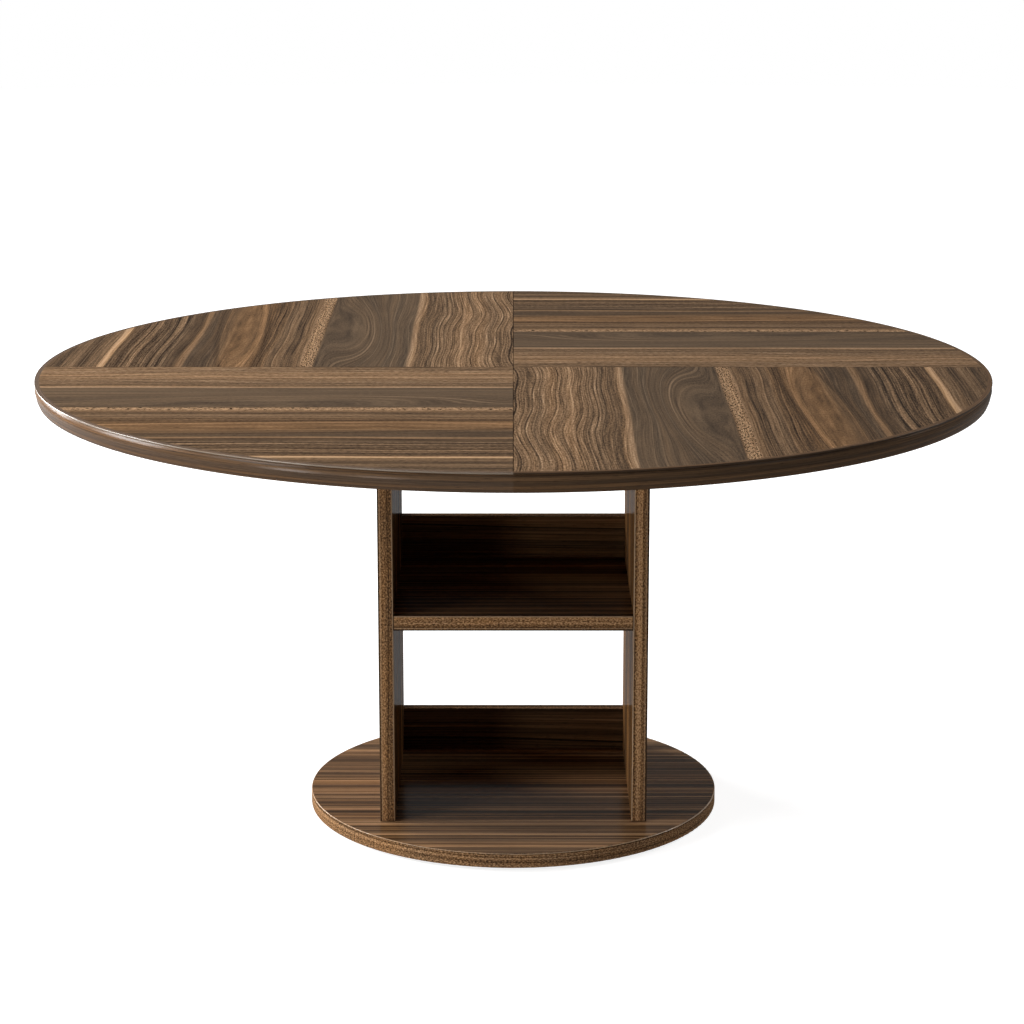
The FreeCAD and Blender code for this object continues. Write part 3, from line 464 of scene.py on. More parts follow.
class GrowthLines(Effect):
    """Growth rings of wood: soft stripes, fibres, and rings with late-wood lines and a gleam."""

    name = "growth_lines"
    inputs = (("field", 0.0), ("along", 0.0), ("lines_per_metre", 55.0))
    outputs = tuple(
        (part, FLOAT) for part in ("wide", "fine", "fibre", "ring", "line", "hair", "gleam")
    )
    WIDE = Cloud(1.0, 0.5, detail=1.5)
    FINE = Cloud(3.9, 1.3, detail=2.0, roughness=0.55)
    FIBRE = Cloud(420.0, 9.0, detail=1.5, roughness=0.6)
    UNEVEN = Cloud(0.21, 0.6, 2.6, detail=1.5)
    RING_TIMES = 1.25
    HAIR_TIMES = 4.3
    HAIR_UNEVEN = 3.0
    LINE_START = 0.68
    HAIR_START = 0.55
    LATE_FULL = 0.93
    LATE_END = (1.0, 0.95)
    LATE_LOT = 31.7
    GLEAM_START = (0.02, 0.12)
    GLEAM_END = (0.36, 0.14)
    GLEAM_LOT = 77.3
    GLEAM_ODDS = (0.62, 0.95)

    @staticmethod
    def ring_of(count: Signal) -> tuple[Signal, Signal]:
        """Gives the number of the ring at a count of rings, and the share of it that is passed."""
        number = count.whole()
        return number, count - number

    def late_wood(self, sheet: Sheet, number: Signal, phase: Signal, start: float) -> Signal:
        """Draws a line in each ring, from a share of the ring to its end, at its own strength."""
        line = phase.rise(start, self.LATE_FULL) * phase.rise(*self.LATE_END)
        return line * sheet.lot(number + self.LATE_LOT)

    def over(self, sheet: Sheet, flow: Signal, along: Signal, per_metre: float) -> Parts:
        """Places the lines in a sheet, along the grain and so many to a metre across it."""
        return self.put(sheet, field=flow, along=along, lines_per_metre=per_metre)

    def draw(self, sheet: Sheet, values: Parts) -> Parts:
        """Stretches noise along the grain at each width and counts the rings across it.

        Args:
            sheet: Sheet of the group's tree.
            values: The group's inputs by name.

        Returns:
            The group's outputs by name.
        """
        lines, along = values["field"] * values["lines_per_metre"], values["along"]
        uneven = self.UNEVEN.over(sheet, lines, along)
        number, phase = self.ring_of(lines * self.RING_TIMES + uneven)
        hair = self.ring_of(lines * self.HAIR_TIMES + uneven * self.HAIR_UNEVEN)
        gleam = phase.rise(*self.GLEAM_START) * phase.rise(*self.GLEAM_END)
        return {
            "wide": self.WIDE.over(sheet, lines, along),
            "fine": self.FINE.over(sheet, lines, along),
            "fibre": self.FIBRE.over(sheet, values["field"], along),
            "ring": sheet.lot(number) - 0.5,
            "line": self.late_wood(sheet, number, phase, self.LINE_START),
            "hair": self.late_wood(sheet, *hair, self.HAIR_START),
            "gleam": gleam * sheet.lot(number + self.GLEAM_LOT).rise(*self.GLEAM_ODDS),
        }


@dataclass(frozen=True)
class Ribbon:
    """One stop across the leaf of veneer.

    Attributes:
        place: Distance from the seam in millimetres.
        tone: How light the wood is, from 0 to 1.
        warmth: Grey-brown at 0, red-brown at 1.
        rings: How strongly the growth lines show.
        wave: How much the growth lines bend.
    """

    place: float
    tone: float
    warmth: float
    rings: float
    wave: float


@dataclass(frozen=True)
class Eye:
    """An oval in the figure, where growth lines close round a plain core (millimetres).

    Attributes:
        across: Distance of its middle from the seam.
        along: Place of its middle along the leaf.
        half_width: Half its width.
        half_length: Half its length.
        rise: Distance from its middle to the growth line that fills its core.
        slant: How far it leans across for each millimetre along.
        tone: How light its core is, from 0 to 1.
        tint: Share of its own tone in the core; 0 leaves the ribbons' tones.
    """

    across: float
    along: float
    half_width: float
    half_length: float
    rise: float
    slant: float = 0.0
    tone: float = 0.0
    tint: float = 0.0

    def crest(self, sheet: Sheet, across: Signal, along: Signal) -> Signal:
        """Gives a hump from 0 to 1 over the eye, flat in the middle and steep round it.

        Args:
            sheet: Sheet of the group's tree.
            across: Distance from the seam in metres.
            along: Place along the leaf in metres.

        Returns:
            The hump.
        """
        ahead = along - self.along / METRE
        x = (across - self.across / METRE - ahead * self.slant) * (METRE / self.half_width)
        y = ahead * (METRE / self.half_length)
        reach = x * x + y * y
        return sheet.math("EXPONENT", reach * reach * -1.0)


WOOD_OUTPUTS = (("colour", COLOUR), ("pores", FLOAT), ("relief", FLOAT))


class FiguredLeaf(Effect):
    """The leaf of figured walnut that is laid, turned each time, on the quarters of the top."""

    name = "figured_leaf"
    inputs = (("across", 0.0), ("along", 0.0))
    outputs = WOOD_OUTPUTS
    RIBBONS = (
        Ribbon(0, 0.60, 0.70, 1.0, 1.0),
        Ribbon(44, 0.50, 0.70, 1.0, 1.0),
        Ribbon(62, 0.62, 0.85, 1.0, 1.0),
        Ribbon(89, 0.56, 0.80, 1.0, 1.0),
        Ribbon(92, 0.72, 0.70, 0.6, 1.0),
        Ribbon(97, 0.50, 0.75, 1.0, 1.0),
        Ribbon(142, 0.50, 0.65, 0.9, 0.9),
        Ribbon(168, 0.50, 0.65, 0.8, 0.8),
        Ribbon(176, 0.66, 0.60, 0.4, 0.8),
        Ribbon(181, 0.52, 0.50, 0.4, 0.7),
        Ribbon(182.5, 0.27, 0.22, 0.20, 0.6),
        Ribbon(212, 0.275, 0.18, 0.10, 0.6),
        Ribbon(242, 0.325, 0.25, 0.08, 0.6),
        Ribbon(290, 0.285, 0.25, 0.24, 0.6),
        Ribbon(338, 0.26, 0.25, 0.34, 0.5),
        Ribbon(339.5, 0.52, 0.70, 0.3, 0.5),
        Ribbon(342, 0.77, 0.80, 0.3, 0.5),
        Ribbon(361, 0.66, 0.85, 0.4, 0.5),
        Ribbon(364, 0.48, 0.70, 0.60, 0.6),
        Ribbon(381, 0.42, 0.75, 0.62, 0.6),
        Ribbon(404, 0.47, 0.70, 0.58, 0.6),
        Ribbon(412, 0.44, 0.75, 0.7, 0.6),
        Ribbon(415, 0.26, 0.75, 0.6, 0.6),
        Ribbon(420, 0.36, 0.75, 0.6, 0.6),
        Ribbon(434, 0.41, 1.00, 0.8, 0.8),
        Ribbon(444, 0.36, 1.00, 0.7, 0.9),
        Ribbon(460, 0.40, 1.10, 0.6, 0.9),
        Ribbon(490, 0.47, 1.15, 0.7, 0.9),
        Ribbon(500, 0.34, 0.90, 0.7, 0.8),
        Ribbon(509, 0.46, 0.70, 0.4, 0.7),
        Ribbon(513, 0.42, 0.65, 0.4, 0.7),
        Ribbon(515, 0.27, 0.50, 0.3, 0.6),
        Ribbon(548, 0.21, 0.45, 0.3, 0.5),
        Ribbon(559, 0.24, 0.50, 0.3, 0.5),
        Ribbon(562, 0.50, 0.80, 0.3, 0.4),
        Ribbon(568, 0.46, 0.80, 0.3, 0.4),
        Ribbon(576, 0.27, 0.65, 0.3, 0.5),
        Ribbon(590, 0.26, 0.60, 0.4, 0.5),
        Ribbon(596, 0.44, 0.50, 0.7, 0.4),
        Ribbon(604, 0.33, 0.55, 0.9, 0.4),
        Ribbon(650, 0.37, 0.70, 1.0, 0.4),
        Ribbon(692, 0.35, 0.75, 0.8, 0.4),
        Ribbon(695, 0.72, 0.90, 0.4, 0.4),
        Ribbon(703, 0.84, 0.80, 0.3, 0.4),
        Ribbon(707, 0.44, 0.75, 0.6, 0.4),
        Ribbon(728, 0.38, 0.60, 0.6, 0.6),
        Ribbon(740, 0.20, 0.60, 0.4, 0.6),
        Ribbon(752, 0.42, 0.55, 0.6, 0.6),
        Ribbon(790, 0.30, 0.60, 0.6, 0.6),
    )
    SPLIT = 25  # a ramp holds 32 stops at most, so a second one begins at this ribbon
    RIBBON_BEND = 0.12
    SWAY = Cloud(1.3, 1.5, 0.050, detail=0.0)
    RIPPLE = Cloud(4.5, 3.5, 0.030, detail=0.0)
    STRIPE = Cloud(30.0, 0.35)
    GRIT = Cloud(340.0, 120.0, roughness=0.6)
    LINES_PER_METRE = 62.0
    SOFT = {"stripe": 0.50, "wide": 0.40, "fine": 0.66, "ring": 0.20}
    # What each part adds to the tone: times the strength of the rings, and everywhere.
    SHARES = {
        "soft": (0.70, 0.30),
        "fibre": (0.50, 0.24),
        "line": (-0.80, 0.36),
        "hair": (-0.36, 0.07),
        "gleam": (0.16, 0.04),
        "grit": (0.45, 0.12),
    }
    LIFT = 0.075
    WIDE_WARMTH = 0.6
    FIBRE_RELIEF = 0.5
    PORE_CELLS = (430.0, 85.0)
    # How many pores are open: times the strength of the rings, and everywhere.
    PORES_BY_RINGS = 0.62
    PORES_EVERYWHERE = 0.2
    PORE_DARKNESS = 0.17
    # The pale strip with coarse flecks, in millimetres from the seam.
    STRIP_START = (338.0, 341.0)
    STRIP_END = (366.0, 361.0)
    FLECK_CELLS = (420.0, 125.0)
    FLECK_DARKNESS = 0.85
    SEAM = (0.0011, 0.0003)
    SEAM_DARKNESS = 0.4
    EYES = (
        Eye(across=292, along=-360, half_width=58, half_length=330, rise=46, slant=-0.05),
        Eye(490, -370, half_width=41, half_length=487, rise=4, slant=-0.05, tone=0.47, tint=0.8),
    )
    EYE_PLAINNESS = 0.86
    EYE_WARMTH = 1.2
    EYE_RINGS_LOST = 0.4
    BORDER_CREST = 0.3
    BORDER = (0.22, 0.06)
    BORDER_DARKNESS = 0.15

    def ribbons(self, sheet: Sheet, across: Signal) -> tuple[Signal, Signal, Signal, Signal]:
        """Gives the tone, warmth, strength of rings and wave at a distance from the seam.

        Args:
            sheet: Sheet of the group's tree.
            across: Distance from the seam in metres.

        Returns:
            The four properties of the ribbon there.
        """
        place = across * METRE
        ramps = []
        for part in (self.RIBBONS[: self.SPLIT + 1], self.RIBBONS[self.SPLIT :]):
            first = part[0].place
            width = part[-1].place - first
            stops = [((r.place - first) / width, (r.tone, r.warmth, r.rings, r.wave)) for r in part]
            ramps.append(sheet.ramp((place - first) * (1.0 / width), stops))
        (near, near_wave), (far, far_wave) = ramps
        beyond = sheet.math("GREATER_THAN", place, self.RIBBONS[self.SPLIT].place)
        tone, warmth, rings = sheet.split(sheet.blend(beyond, near, far))
        return tone, warmth, rings, (far_wave - near_wave) * beyond + near_wave

    def draw(self, sheet: Sheet, values: Parts) -> Parts:
        """Bends the growth lines, lays the ribbons' tones on them and opens the pores.

        Args:
            sheet: Sheet of the group's tree.
            values: The group's inputs by name.

        Returns:
            The group's outputs by name.
        """
        across, along = values["across"], values["along"]
        bend = self.SWAY.over(sheet, across, along) + self.RIPPLE.over(sheet, across, along)
        tone, warmth, rings, wave = self.ribbons(sheet, across + bend * self.RIBBON_BEND)
        flow = drift = across + bend * wave
        for eye in self.EYES:
            crest = eye.crest(sheet, across, along)
            core = (eye.across + eye.rise) / METRE
            flow = flow + (flow - core) * crest * -self.EYE_PLAINNESS
            if eye.tint:
                share = crest * eye.tint
                border = (crest - self.BORDER_CREST).size().rise(*self.BORDER) * eye.tint
                tone = tone + (tone * -1.0 + eye.tone) * share - border * self.BORDER_DARKNESS
                warmth = warmth + (warmth * -1.0 + self.EYE_WARMTH) * share
                rings = rings - rings * share * self.EYE_RINGS_LOST
        place = across * METRE
        strip = place.rise(*self.STRIP_START) * place.rise(*self.STRIP_END)
        flecks = PoreFlecks().mask(sheet, across, along, self.FLECK_CELLS, strip) * strip
        open_share = rings * self.PORES_BY_RINGS + self.PORES_EVERYWHERE
        pores = PoreFlecks().mask(sheet, drift, along, self.PORE_CELLS, open_share)
        parts = GrowthLines().over(sheet, flow, along, self.LINES_PER_METRE)
        parts["stripe"] = self.STRIPE.over(sheet, flow, along)
        parts["grit"] = self.GRIT.over(sheet, across, along)
        parts["soft"] = sheet.total(parts, self.SOFT)
        for name, (by_rings, everywhere) in self.SHARES.items():
            tone = tone + parts[name] * (rings * by_rings + everywhere)
        tone = tone - pores * self.PORE_DARKNESS - flecks * self.FLECK_DARKNESS + self.LIFT
        seam = sheet.math("MINIMUM", across, along * -1.0).rise(*self.SEAM)
        tone = tone - seam * self.SEAM_DARKNESS
        warmth = warmth + parts["wide"] * self.WIDE_WARMTH
        return {
            "colour": WalnutTone().put(sheet, tone=tone, warmth=warmth)["colour"],
            "pores": pores.or_more(flecks),
            "relief": parts["fibre"] * self.FIBRE_RELIEF - pores - flecks,
        }


class BoardGrain(Effect):
    """Walnut along a board or a band, moved on by a seed so that pieces differ."""

    inputs = (
        ("across", 0.0),
        ("along", 0.0),
        ("seed", 0.0),
        ("level", 0.42),
        ("contrast", 1.0),
        ("warmth", 1.0),
    )
    outputs = WOOD_OUTPUTS
    SEED_ACROSS: float

    def moved(self, values: Parts) -> tuple[Signal, Signal]:
        """Gives the coordinates across and along the grain, moved on by the seed."""
        seed = values["seed"]
        return values["across"] + seed * self.SEED_ACROSS, values["along"] + seed


class RibbonBoard(BoardGrain):
    """Straight-grained walnut veneer, with ribbons of several widths that run along the board."""

    name = "ribbon_board"
    SEED_ACROSS = 0.37
    BEND = Cloud(3.0, 1.4, 0.016)
    BROAD = Cloud(19.0, 0.30)
    HUE = Cloud(13.0, 0.3, 1.4)
    LINES_PER_METRE = 62.0
    SPREAD = {
        "broad": 0.60,
        "wide": 0.40,
        "fine": 0.60,
        "ring": 0.26,
        "gleam": 0.26,
        "line": -0.40,
        "hair": -0.16,
    }
    FIBRE_TONE = 0.30
    FIBRE_RELIEF = 0.5
    RING_WARMTH = 0.4
    PORE_CELLS = (430.0, 45.0)
    PORE_SHARE = 0.5
    PORE_DARKNESS = 0.12
    LIFT = 0.07

    def draw(self, sheet: Sheet, values: Parts) -> Parts:
        """Sums ribbons, growth lines and fibres into a tone and opens the pores.

        Args:
            sheet: Sheet of the group's tree.
            values: The group's inputs by name.

        Returns:
            The group's outputs by name.
        """
        across, along = self.moved(values)
        flow = across + self.BEND.over(sheet, across, along)
        parts = GrowthLines().over(sheet, flow, along, self.LINES_PER_METRE)
        parts["broad"] = self.BROAD.over(sheet, flow, along)
        pores = PoreFlecks().mask(sheet, flow, along, self.PORE_CELLS, self.PORE_SHARE)
        tone = values["level"] + sheet.total(parts, self.SPREAD) * values["contrast"]
        tone = tone + parts["fibre"] * self.FIBRE_TONE - pores * self.PORE_DARKNESS + self.LIFT
        warmth = self.HUE.over(sheet, flow, along) + parts["ring"] * self.RING_WARMTH
        warmth = warmth + values["warmth"]
        return {
            "colour": WalnutTone().put(sheet, tone=tone, warmth=warmth)["colour"],
            "pores": pores,
            "relief": parts["fibre"] * self.FIBRE_RELIEF - pores,
        }


class EdgeGrain(BoardGrain):
    """Mottled walnut of an edge band: fine lines and many short pores along its length."""

    name = "edge_grain"
    SEED_ACROSS = 0.53
    BEND = Cloud(12.0, 5.0, 0.004)
    MOTTLE = Cloud(520.0, 270.0, roughness=0.6)
    SHADE = Cloud(60.0, 11.0)
    LINES_PER_METRE = 110.0
    SPREAD = {
        "wide": 1.0,
        "fine": 0.60,
        "mottle": 1.45,
        "shade": 0.10,
        "line": -0.40,
        "pores": -0.20,
    }
    HUE = {"shade": 0.8, "mottle": 0.6}
    PORE_CELLS = (520.0, 230.0)
    PORE_SHARE = 0.70
    LIFT = 0.10

    def draw(self, sheet: Sheet, values: Parts) -> Parts:
        """Sums lines along the band and a fine mottle into a tone and opens the pores.

        Args:
            sheet: Sheet of the group's tree.
            values: The group's inputs by name.

        Returns:
            The group's outputs by name.
        """
        across, along = self.moved(values)
        flow = across + self.BEND.over(sheet, across, along)
        parts = GrowthLines().over(sheet, flow, along, self.LINES_PER_METRE)
        parts["mottle"] = self.MOTTLE.over(sheet, flow, along)
        parts["shade"] = self.SHADE.over(sheet, flow, along)
        parts["pores"] = PoreFlecks().mask(sheet, flow, along, self.PORE_CELLS, self.PORE_SHARE)
        tone = values["level"] + sheet.total(parts, self.SPREAD) * values["contrast"] + self.LIFT
        warmth = sheet.total(parts, self.HUE) + values["warmth"]
        return {
            "colour": WalnutTone().put(sheet, tone=tone, warmth=warmth)["colour"],
            "pores": parts["pores"],
            "relief": parts["mottle"] - parts["pores"],
        }


class Handling(Effect):
    """Slow unevenness that hands, dust and wiping leave in a surface."""

    name = "handling"
    inputs = (("across", 0.0), ("along", 0.0), ("base", 0.5), ("spread", 0.1))
    outputs = (("value", FLOAT),)
    BROAD = Cloud(4.0, 4.0, 1.4, detail=2.0)
    NARROW = Cloud(60.0, 45.0, 0.8, detail=2.0)

    def draw(self, sheet: Sheet, values: Parts) -> Parts:
        """Lays a broad and a narrow cloud on the base value.

        Args:
            sheet: Sheet of the group's tree.
            values: The group's inputs by name.

        Returns:
            The group's outputs by name.
        """
        place = values["across"], values["along"]
        marks = self.BROAD.over(sheet, *place) + self.NARROW.over(sheet, *place)
        return {"value": values["base"] + marks * values["spread"]}


@dataclass(frozen=True)
class Surface:
    """How a finish shines, in its body and in the clear coat over it, and how deep its relief is.

    Attributes:
        relief: Depth of pores or grain in metres.
        roughness: Roughness of the body.
        specular: Gloss of the body.
        coat: Weight of the clear coat.
        coat_roughness: Roughness of the clear coat.
        metallic: 1 for metal, 0 for other bodies.
    """

    relief: float
    roughness: float
    specular: float = 0.0
    coat: float = 0.0
    coat_roughness: float = 0.12
    metallic: float = 0.0

    def set_on(self, shader: bpy.types.Node) -> None:
        """Sets the shader's own sockets.

        Args:
            shader: Shader of the material.
        """
        for name, value in (
            ("Roughness", self.roughness),
            ("Specular IOR Level", self.specular),
            ("Coat Weight", self.coat),
            ("Coat Roughness", self.coat_roughness),
            ("Metallic", self.metallic),
        ):
            shader.inputs[name].default_value = value


@dataclass
class Look:
    """What a finish puts on its shader."""

    colour: Signal
    relief: Signal
    roughness: Signal | None = None
    coat: Signal | None = None


class Axis(Enum):
    """Direction in which the grain of a piece runs."""

    ALONG_X = "x"
    ALONG_Y = "y"
    UPRIGHT = "z"
    ROUND = "round"


@dataclass(frozen=True)
class Finish(ABC):
    """A finish as a maker names it.

    Attributes:
        name: Name of the material.
        surface: How it shines, and how deep its relief is.
    """

    name: str
    surface: Surface

    @abstractmethod
    def paint(self, sheet: Sheet) -> Look:
        """Lays out the nodes of the colour, the relief, the roughness and the coat.

        Args:
            sheet: Sheet of the material.

        Returns:
            What goes on the shader.
        """

    def handled(self, sheet: Sheet, across: Signal, along: Signal, spread: float) -> Signal:
        """Gives the finish's roughness, made uneven by handling."""
        base = self.surface.roughness
        return Handling().put(sheet, across=across, along=along, base=base, spread=spread)["value"]

    def coated(self, mask: Signal, coat: float) -> Signal:
        """Gives the weight of the clear coat, with another one where the mask is 1."""
        return mask * (coat - self.surface.coat) + self.surface.coat

    def material(self) -> bpy.types.Material:
        """Gives the finish's material, and makes it when it is first asked for.

        Returns:
            The material.
        """
        known = bpy.data.materials.get(self.name)
        if known:
            return known
        material = bpy.data.materials.new(self.name)
        material.use_nodes = True
        sheet = Sheet(material.node_tree)
        shader = material.node_tree.nodes["Principled BSDF"]
        self.surface.set_on(shader)
        look = self.paint(sheet)
        sheet.feed(shader.inputs["Base Color"], look.colour)
        if look.roughness:
            sheet.feed(shader.inputs["Roughness"], look.roughness)
        if look.coat:
            sheet.feed(shader.inputs["Coat Weight"], look.coat)
        bump = sheet.add("ShaderNodeBump")
        bump.inputs["Distance"].default_value = self.surface.relief
        sheet.feed(bump.inputs["Height"], look.relief)
        sheet.lead(bump, shader.inputs["Normal"])
        LOG.info("finish %s: %d nodes", self.name, len(material.node_tree.nodes))
        return material


@dataclass(frozen=True)
class LeafFinish(Finish):
    """The figured leaf on one quarter of the top, with a plain backing veneer under it.

    Attributes:
        turn: Angle in degrees by which the leaf is turned.
        painted_sheen: Factor of painted sheen: how much lighter the leaf is painted on its quarter,
            where its fibres catch the light that way.
    """

    turn: float = 0.0
    painted_sheen: float = 1.0
    # The painted sheen lightens green and blue a little more than red, so it is slightly cool.
    PAINTED_SHEEN_COOLNESS: ClassVar[float] = 1.02
    BACKING: ClassVar[Weights] = {"seed": 7.3, "level": 0.24, "contrast": 0.35}
    UPWARD: ClassVar[Pair] = (-0.2, 0.2)
    UNEVENNESS: ClassVar[float] = 0.12
    PORE_ROUGHNESS: ClassVar[float] = 0.2

    def paint(self, sheet: Sheet) -> Look:
        """Turns the leaf to its quarter, lightens it by a painted sheen and backs it with plain
        veneer.

        Args:
            sheet: Sheet of the material.

        Returns:
            What goes on the shader.
        """
        across, along, _ = sheet.place(self.turn)
        leaf = FiguredLeaf().put(sheet, across=across, along=along)
        backing = RibbonBoard().put(sheet, across=across, along=along, **self.BACKING)
        # Painted sheen: the leaf's colour is multiplied by a light, slightly cool factor for its
        # quarter.
        sheen = tuple(self.painted_sheen * self.PAINTED_SHEEN_COOLNESS**step for step in range(3))
        face = sheet.blend(1.0, leaf["colour"], sheen, "MULTIPLY")
        upward = sheet.normal()[2].rise(*self.UPWARD)
        colour = sheet.blend(upward, backing["colour"], face)
        roughness = self.handled(sheet, across, along, self.UNEVENNESS)
        return Look(colour, leaf["relief"], roughness + leaf["pores"] * self.PORE_ROUGHNESS)


@dataclass(frozen=True)
class BoardFinish(Finish):
    """Walnut veneer on a board, with the grain along one of its axes.

    Attributes:
        axis: Direction of the grain.
        level: How light the wood is, from 0 to 1.
        contrast: How strongly its lines show.
        seed: What sets it apart from other boards.
        warmth: Grey-brown at 0, red-brown at 1.
        narrowing: How much narrower its ribbons are than usual.
    """

    axis: Axis = Axis.ALONG_X
    level: float = 0.42
    contrast: float = 1.0
    seed: float = 0.0
    warmth: float = 1.1
    narrowing: float = 1.0
    WOOD: ClassVar[type[BoardGrain]] = RibbonBoard
    # How far the pattern moves on across the grain from one face to the next.
    FOLD: ClassVar[float] = 0.9
    ROUND_FOLD: ClassVar[float] = 0.8
    UNEVENNESS: ClassVar[float] = 0.12
    PORE_ROUGHNESS: ClassVar[float] = 0.15

    def grain(self, sheet: Sheet) -> tuple[Signal, Signal]:
        """Gives the coordinates across and along the grain.

        Args:
            sheet: Sheet of the material.

        Returns:
            The two coordinates in metres.
        """
        x, y, z = sheet.place()
        if self.axis is Axis.UPRIGHT:
            return y + x * self.FOLD, z
        if self.axis is Axis.ROUND:
            radius = sheet.radius(x, y)
            angle = sheet.math("ARCTAN2", x, y * -1.0)
            return z + radius * self.ROUND_FOLD, angle * radius
        return y + z * self.FOLD, x

    def paint(self, sheet: Sheet) -> Look:
        """Lays the wood along the board.

        Args:
            sheet: Sheet of the material.

        Returns:
            What goes on the shader.
        """
        across, along = self.grain(sheet)
        wood = self.WOOD().put(
            sheet,
            across=across * self.narrowing,
            along=along,
            seed=self.seed,
            level=self.level,
            contrast=self.contrast,
            warmth=self.warmth,
        )
        roughness = self.handled(sheet, across, along, self.UNEVENNESS)
        roughness = roughness + wood["pores"] * self.PORE_ROUGHNESS
        return Look(wood["colour"], wood["relief"], roughness)


@dataclass(frozen=True)
class Stripe:
    """A thin line along or across a band.

    Attributes:
        half: Half its width in metres.
        soft: Width of its soft border in metres.
        strength: How strongly it shows, from 0 to 1.
    """

    half: float
    soft: float
    strength: float = 1.0

    def at(self, place: Signal, middle: float) -> Signal:
        """Gives the line's strength where the place is near its middle, and 0 elsewhere."""
        return (place - middle).size().rise(self.half + self.soft, self.half) * self.strength


@dataclass(frozen=True)
class BandLines:
    """Lines on an edge band: a dark edge line, a painted joint shadow, painted highlights and a
    dark streak.

    Attributes:
        middle: Where the band's middle lies, from the table's middle plane or the floor, in metres.
        outer: Edge with the dark line: 1 for the outer or upper one, -1 for the inner or lower one.
        streak: Where the streak lies, from the band's middle, in metres.
        end: Where along the band, from the origin, another board meets it and a painted shadow
            lies, in metres.
        half: Half the band's width in metres.
    """

    middle: float
    outer: float
    streak: float
    end: float
    half: float = 0.0125
    # Dark colour of the streak, the edge line and the painted shadow at the joint.
    DARK: ClassVar[Colour] = (0.020, 0.011, 0.006)
    DARKNESS: ClassVar[float] = 0.9
    # Colour of the painted highlights along the arrises.
    HIGHLIGHT_COLOUR: ClassVar[Colour] = (0.42, 0.28, 0.17)
    STREAK: ClassVar[Stripe] = Stripe(0.0012, 0.0035, 0.35)
    OUTER_LINE: ClassVar[Stripe] = Stripe(0.0023, 0.0008)
    # Painted shadow where another board meets the band.
    JOINT_SHADOW: ClassVar[Stripe] = Stripe(0.0010, 0.0007)
    # Painted highlights: one along the arris across from the dark edge line, a fainter one a little
    # inside that line.
    ARRIS_HIGHLIGHT: ClassVar[Stripe] = Stripe(0.0013, 0.0008, 0.70)
    BESIDE_HIGHLIGHT: ClassVar[Stripe] = Stripe(0.0006, 0.0007, 0.35)
    BESIDE_INSET: ClassVar[float] = 0.0040

    def over(
        self, sheet: Sheet, colour: Signal, across: Signal, along: Signal
    ) -> tuple[Signal, Signal]:
        """Lays the lines over the colour of the wood.

        Args:
            sheet: Sheet of the finish.
            colour: Colour of the wood.
            across: Coordinate across the band.
            along: Coordinate along the band.

        Returns:
            The colour with the lines on it, and the mask of the dark edge line and the painted
            shadow at the joint.
        """
        side = sheet.math("SIGN", across)
        off = across - side * self.middle
        outward = off * side * self.outer
        # The dark edge line, and the painted shadow where another board meets the band.
        dark = self.OUTER_LINE.at(outward, self.half).or_more(self.JOINT_SHADOW.at(along.size(), self.end))
        beside = self.BESIDE_HIGHLIGHT.at(outward, self.half - self.BESIDE_INSET)
        colour = sheet.blend(self.STREAK.at(off, self.streak), colour, self.DARK)
        # Painted highlights along the arrises.
        colour = sheet.blend(self.ARRIS_HIGHLIGHT.at(outward, -self.half) + beside, colour, self.HIGHLIGHT_COLOUR)
        return sheet.blend(dark * self.DARKNESS, colour, self.DARK), dark


@dataclass(frozen=True)
class BandFinish(BoardFinish):
    """Walnut edge band, made pale along its arrises by wear and a painted highlight.

    Attributes:
        arris_coat: Weight of the clear coat on the arrises.
        lines: Lines on the band, if it has any.
    """

    arris_coat: float = 0.15
    lines: BandLines | None = None
    WOOD: ClassVar[type[BoardGrain]] = EdgeGrain
    # Pale colour on the rounded arrises: partly wear, partly a painted highlight.
    WORN_AND_HIGHLIGHT: ClassVar[Colour] = (0.50, 0.34, 0.21)
    WEAR_AND_HIGHLIGHT: ClassVar[float] = 0.75
    ROUNDED: ClassVar[Pair] = (0.985, 0.86)

    def arris(self, sheet: Sheet) -> Signal:
        """Gives 1 on the rounded arrises and 0 on the flats, from the way the surface faces.

        Args:
            sheet: Sheet of the material.

        Returns:
            The mask.
        """
        x, y, z = (part.size() for part in sheet.normal())
        if self.axis is Axis.ROUND:
            x, y = sheet.radius(x, y), z
        return x.or_more(y).or_more(z).rise(*self.ROUNDED)

    def paint(self, sheet: Sheet) -> Look:
        """Lays the edge grain along the band, pales its arrises by wear and a painted highlight,
        and draws its lines.

        Args:
            sheet: Sheet of the material.

        Returns:
            What goes on the shader.
        """
        look = super().paint(sheet)
        arris = self.arris(sheet)
        # Wear and a painted highlight make the arrises pale.
        look.colour = sheet.blend(arris * self.WEAR_AND_HIGHLIGHT, look.colour, self.WORN_AND_HIGHLIGHT)
        look.coat = self.coated(arris, self.arris_coat)
        if self.lines:
            x, _, z = sheet.place()
            across, along = (z, x) if self.axis is Axis.ALONG_X else (x, z)
            look.colour, dark = self.lines.over(sheet, look.colour, across, along)
            look.coat = look.coat - look.coat * dark
        return look


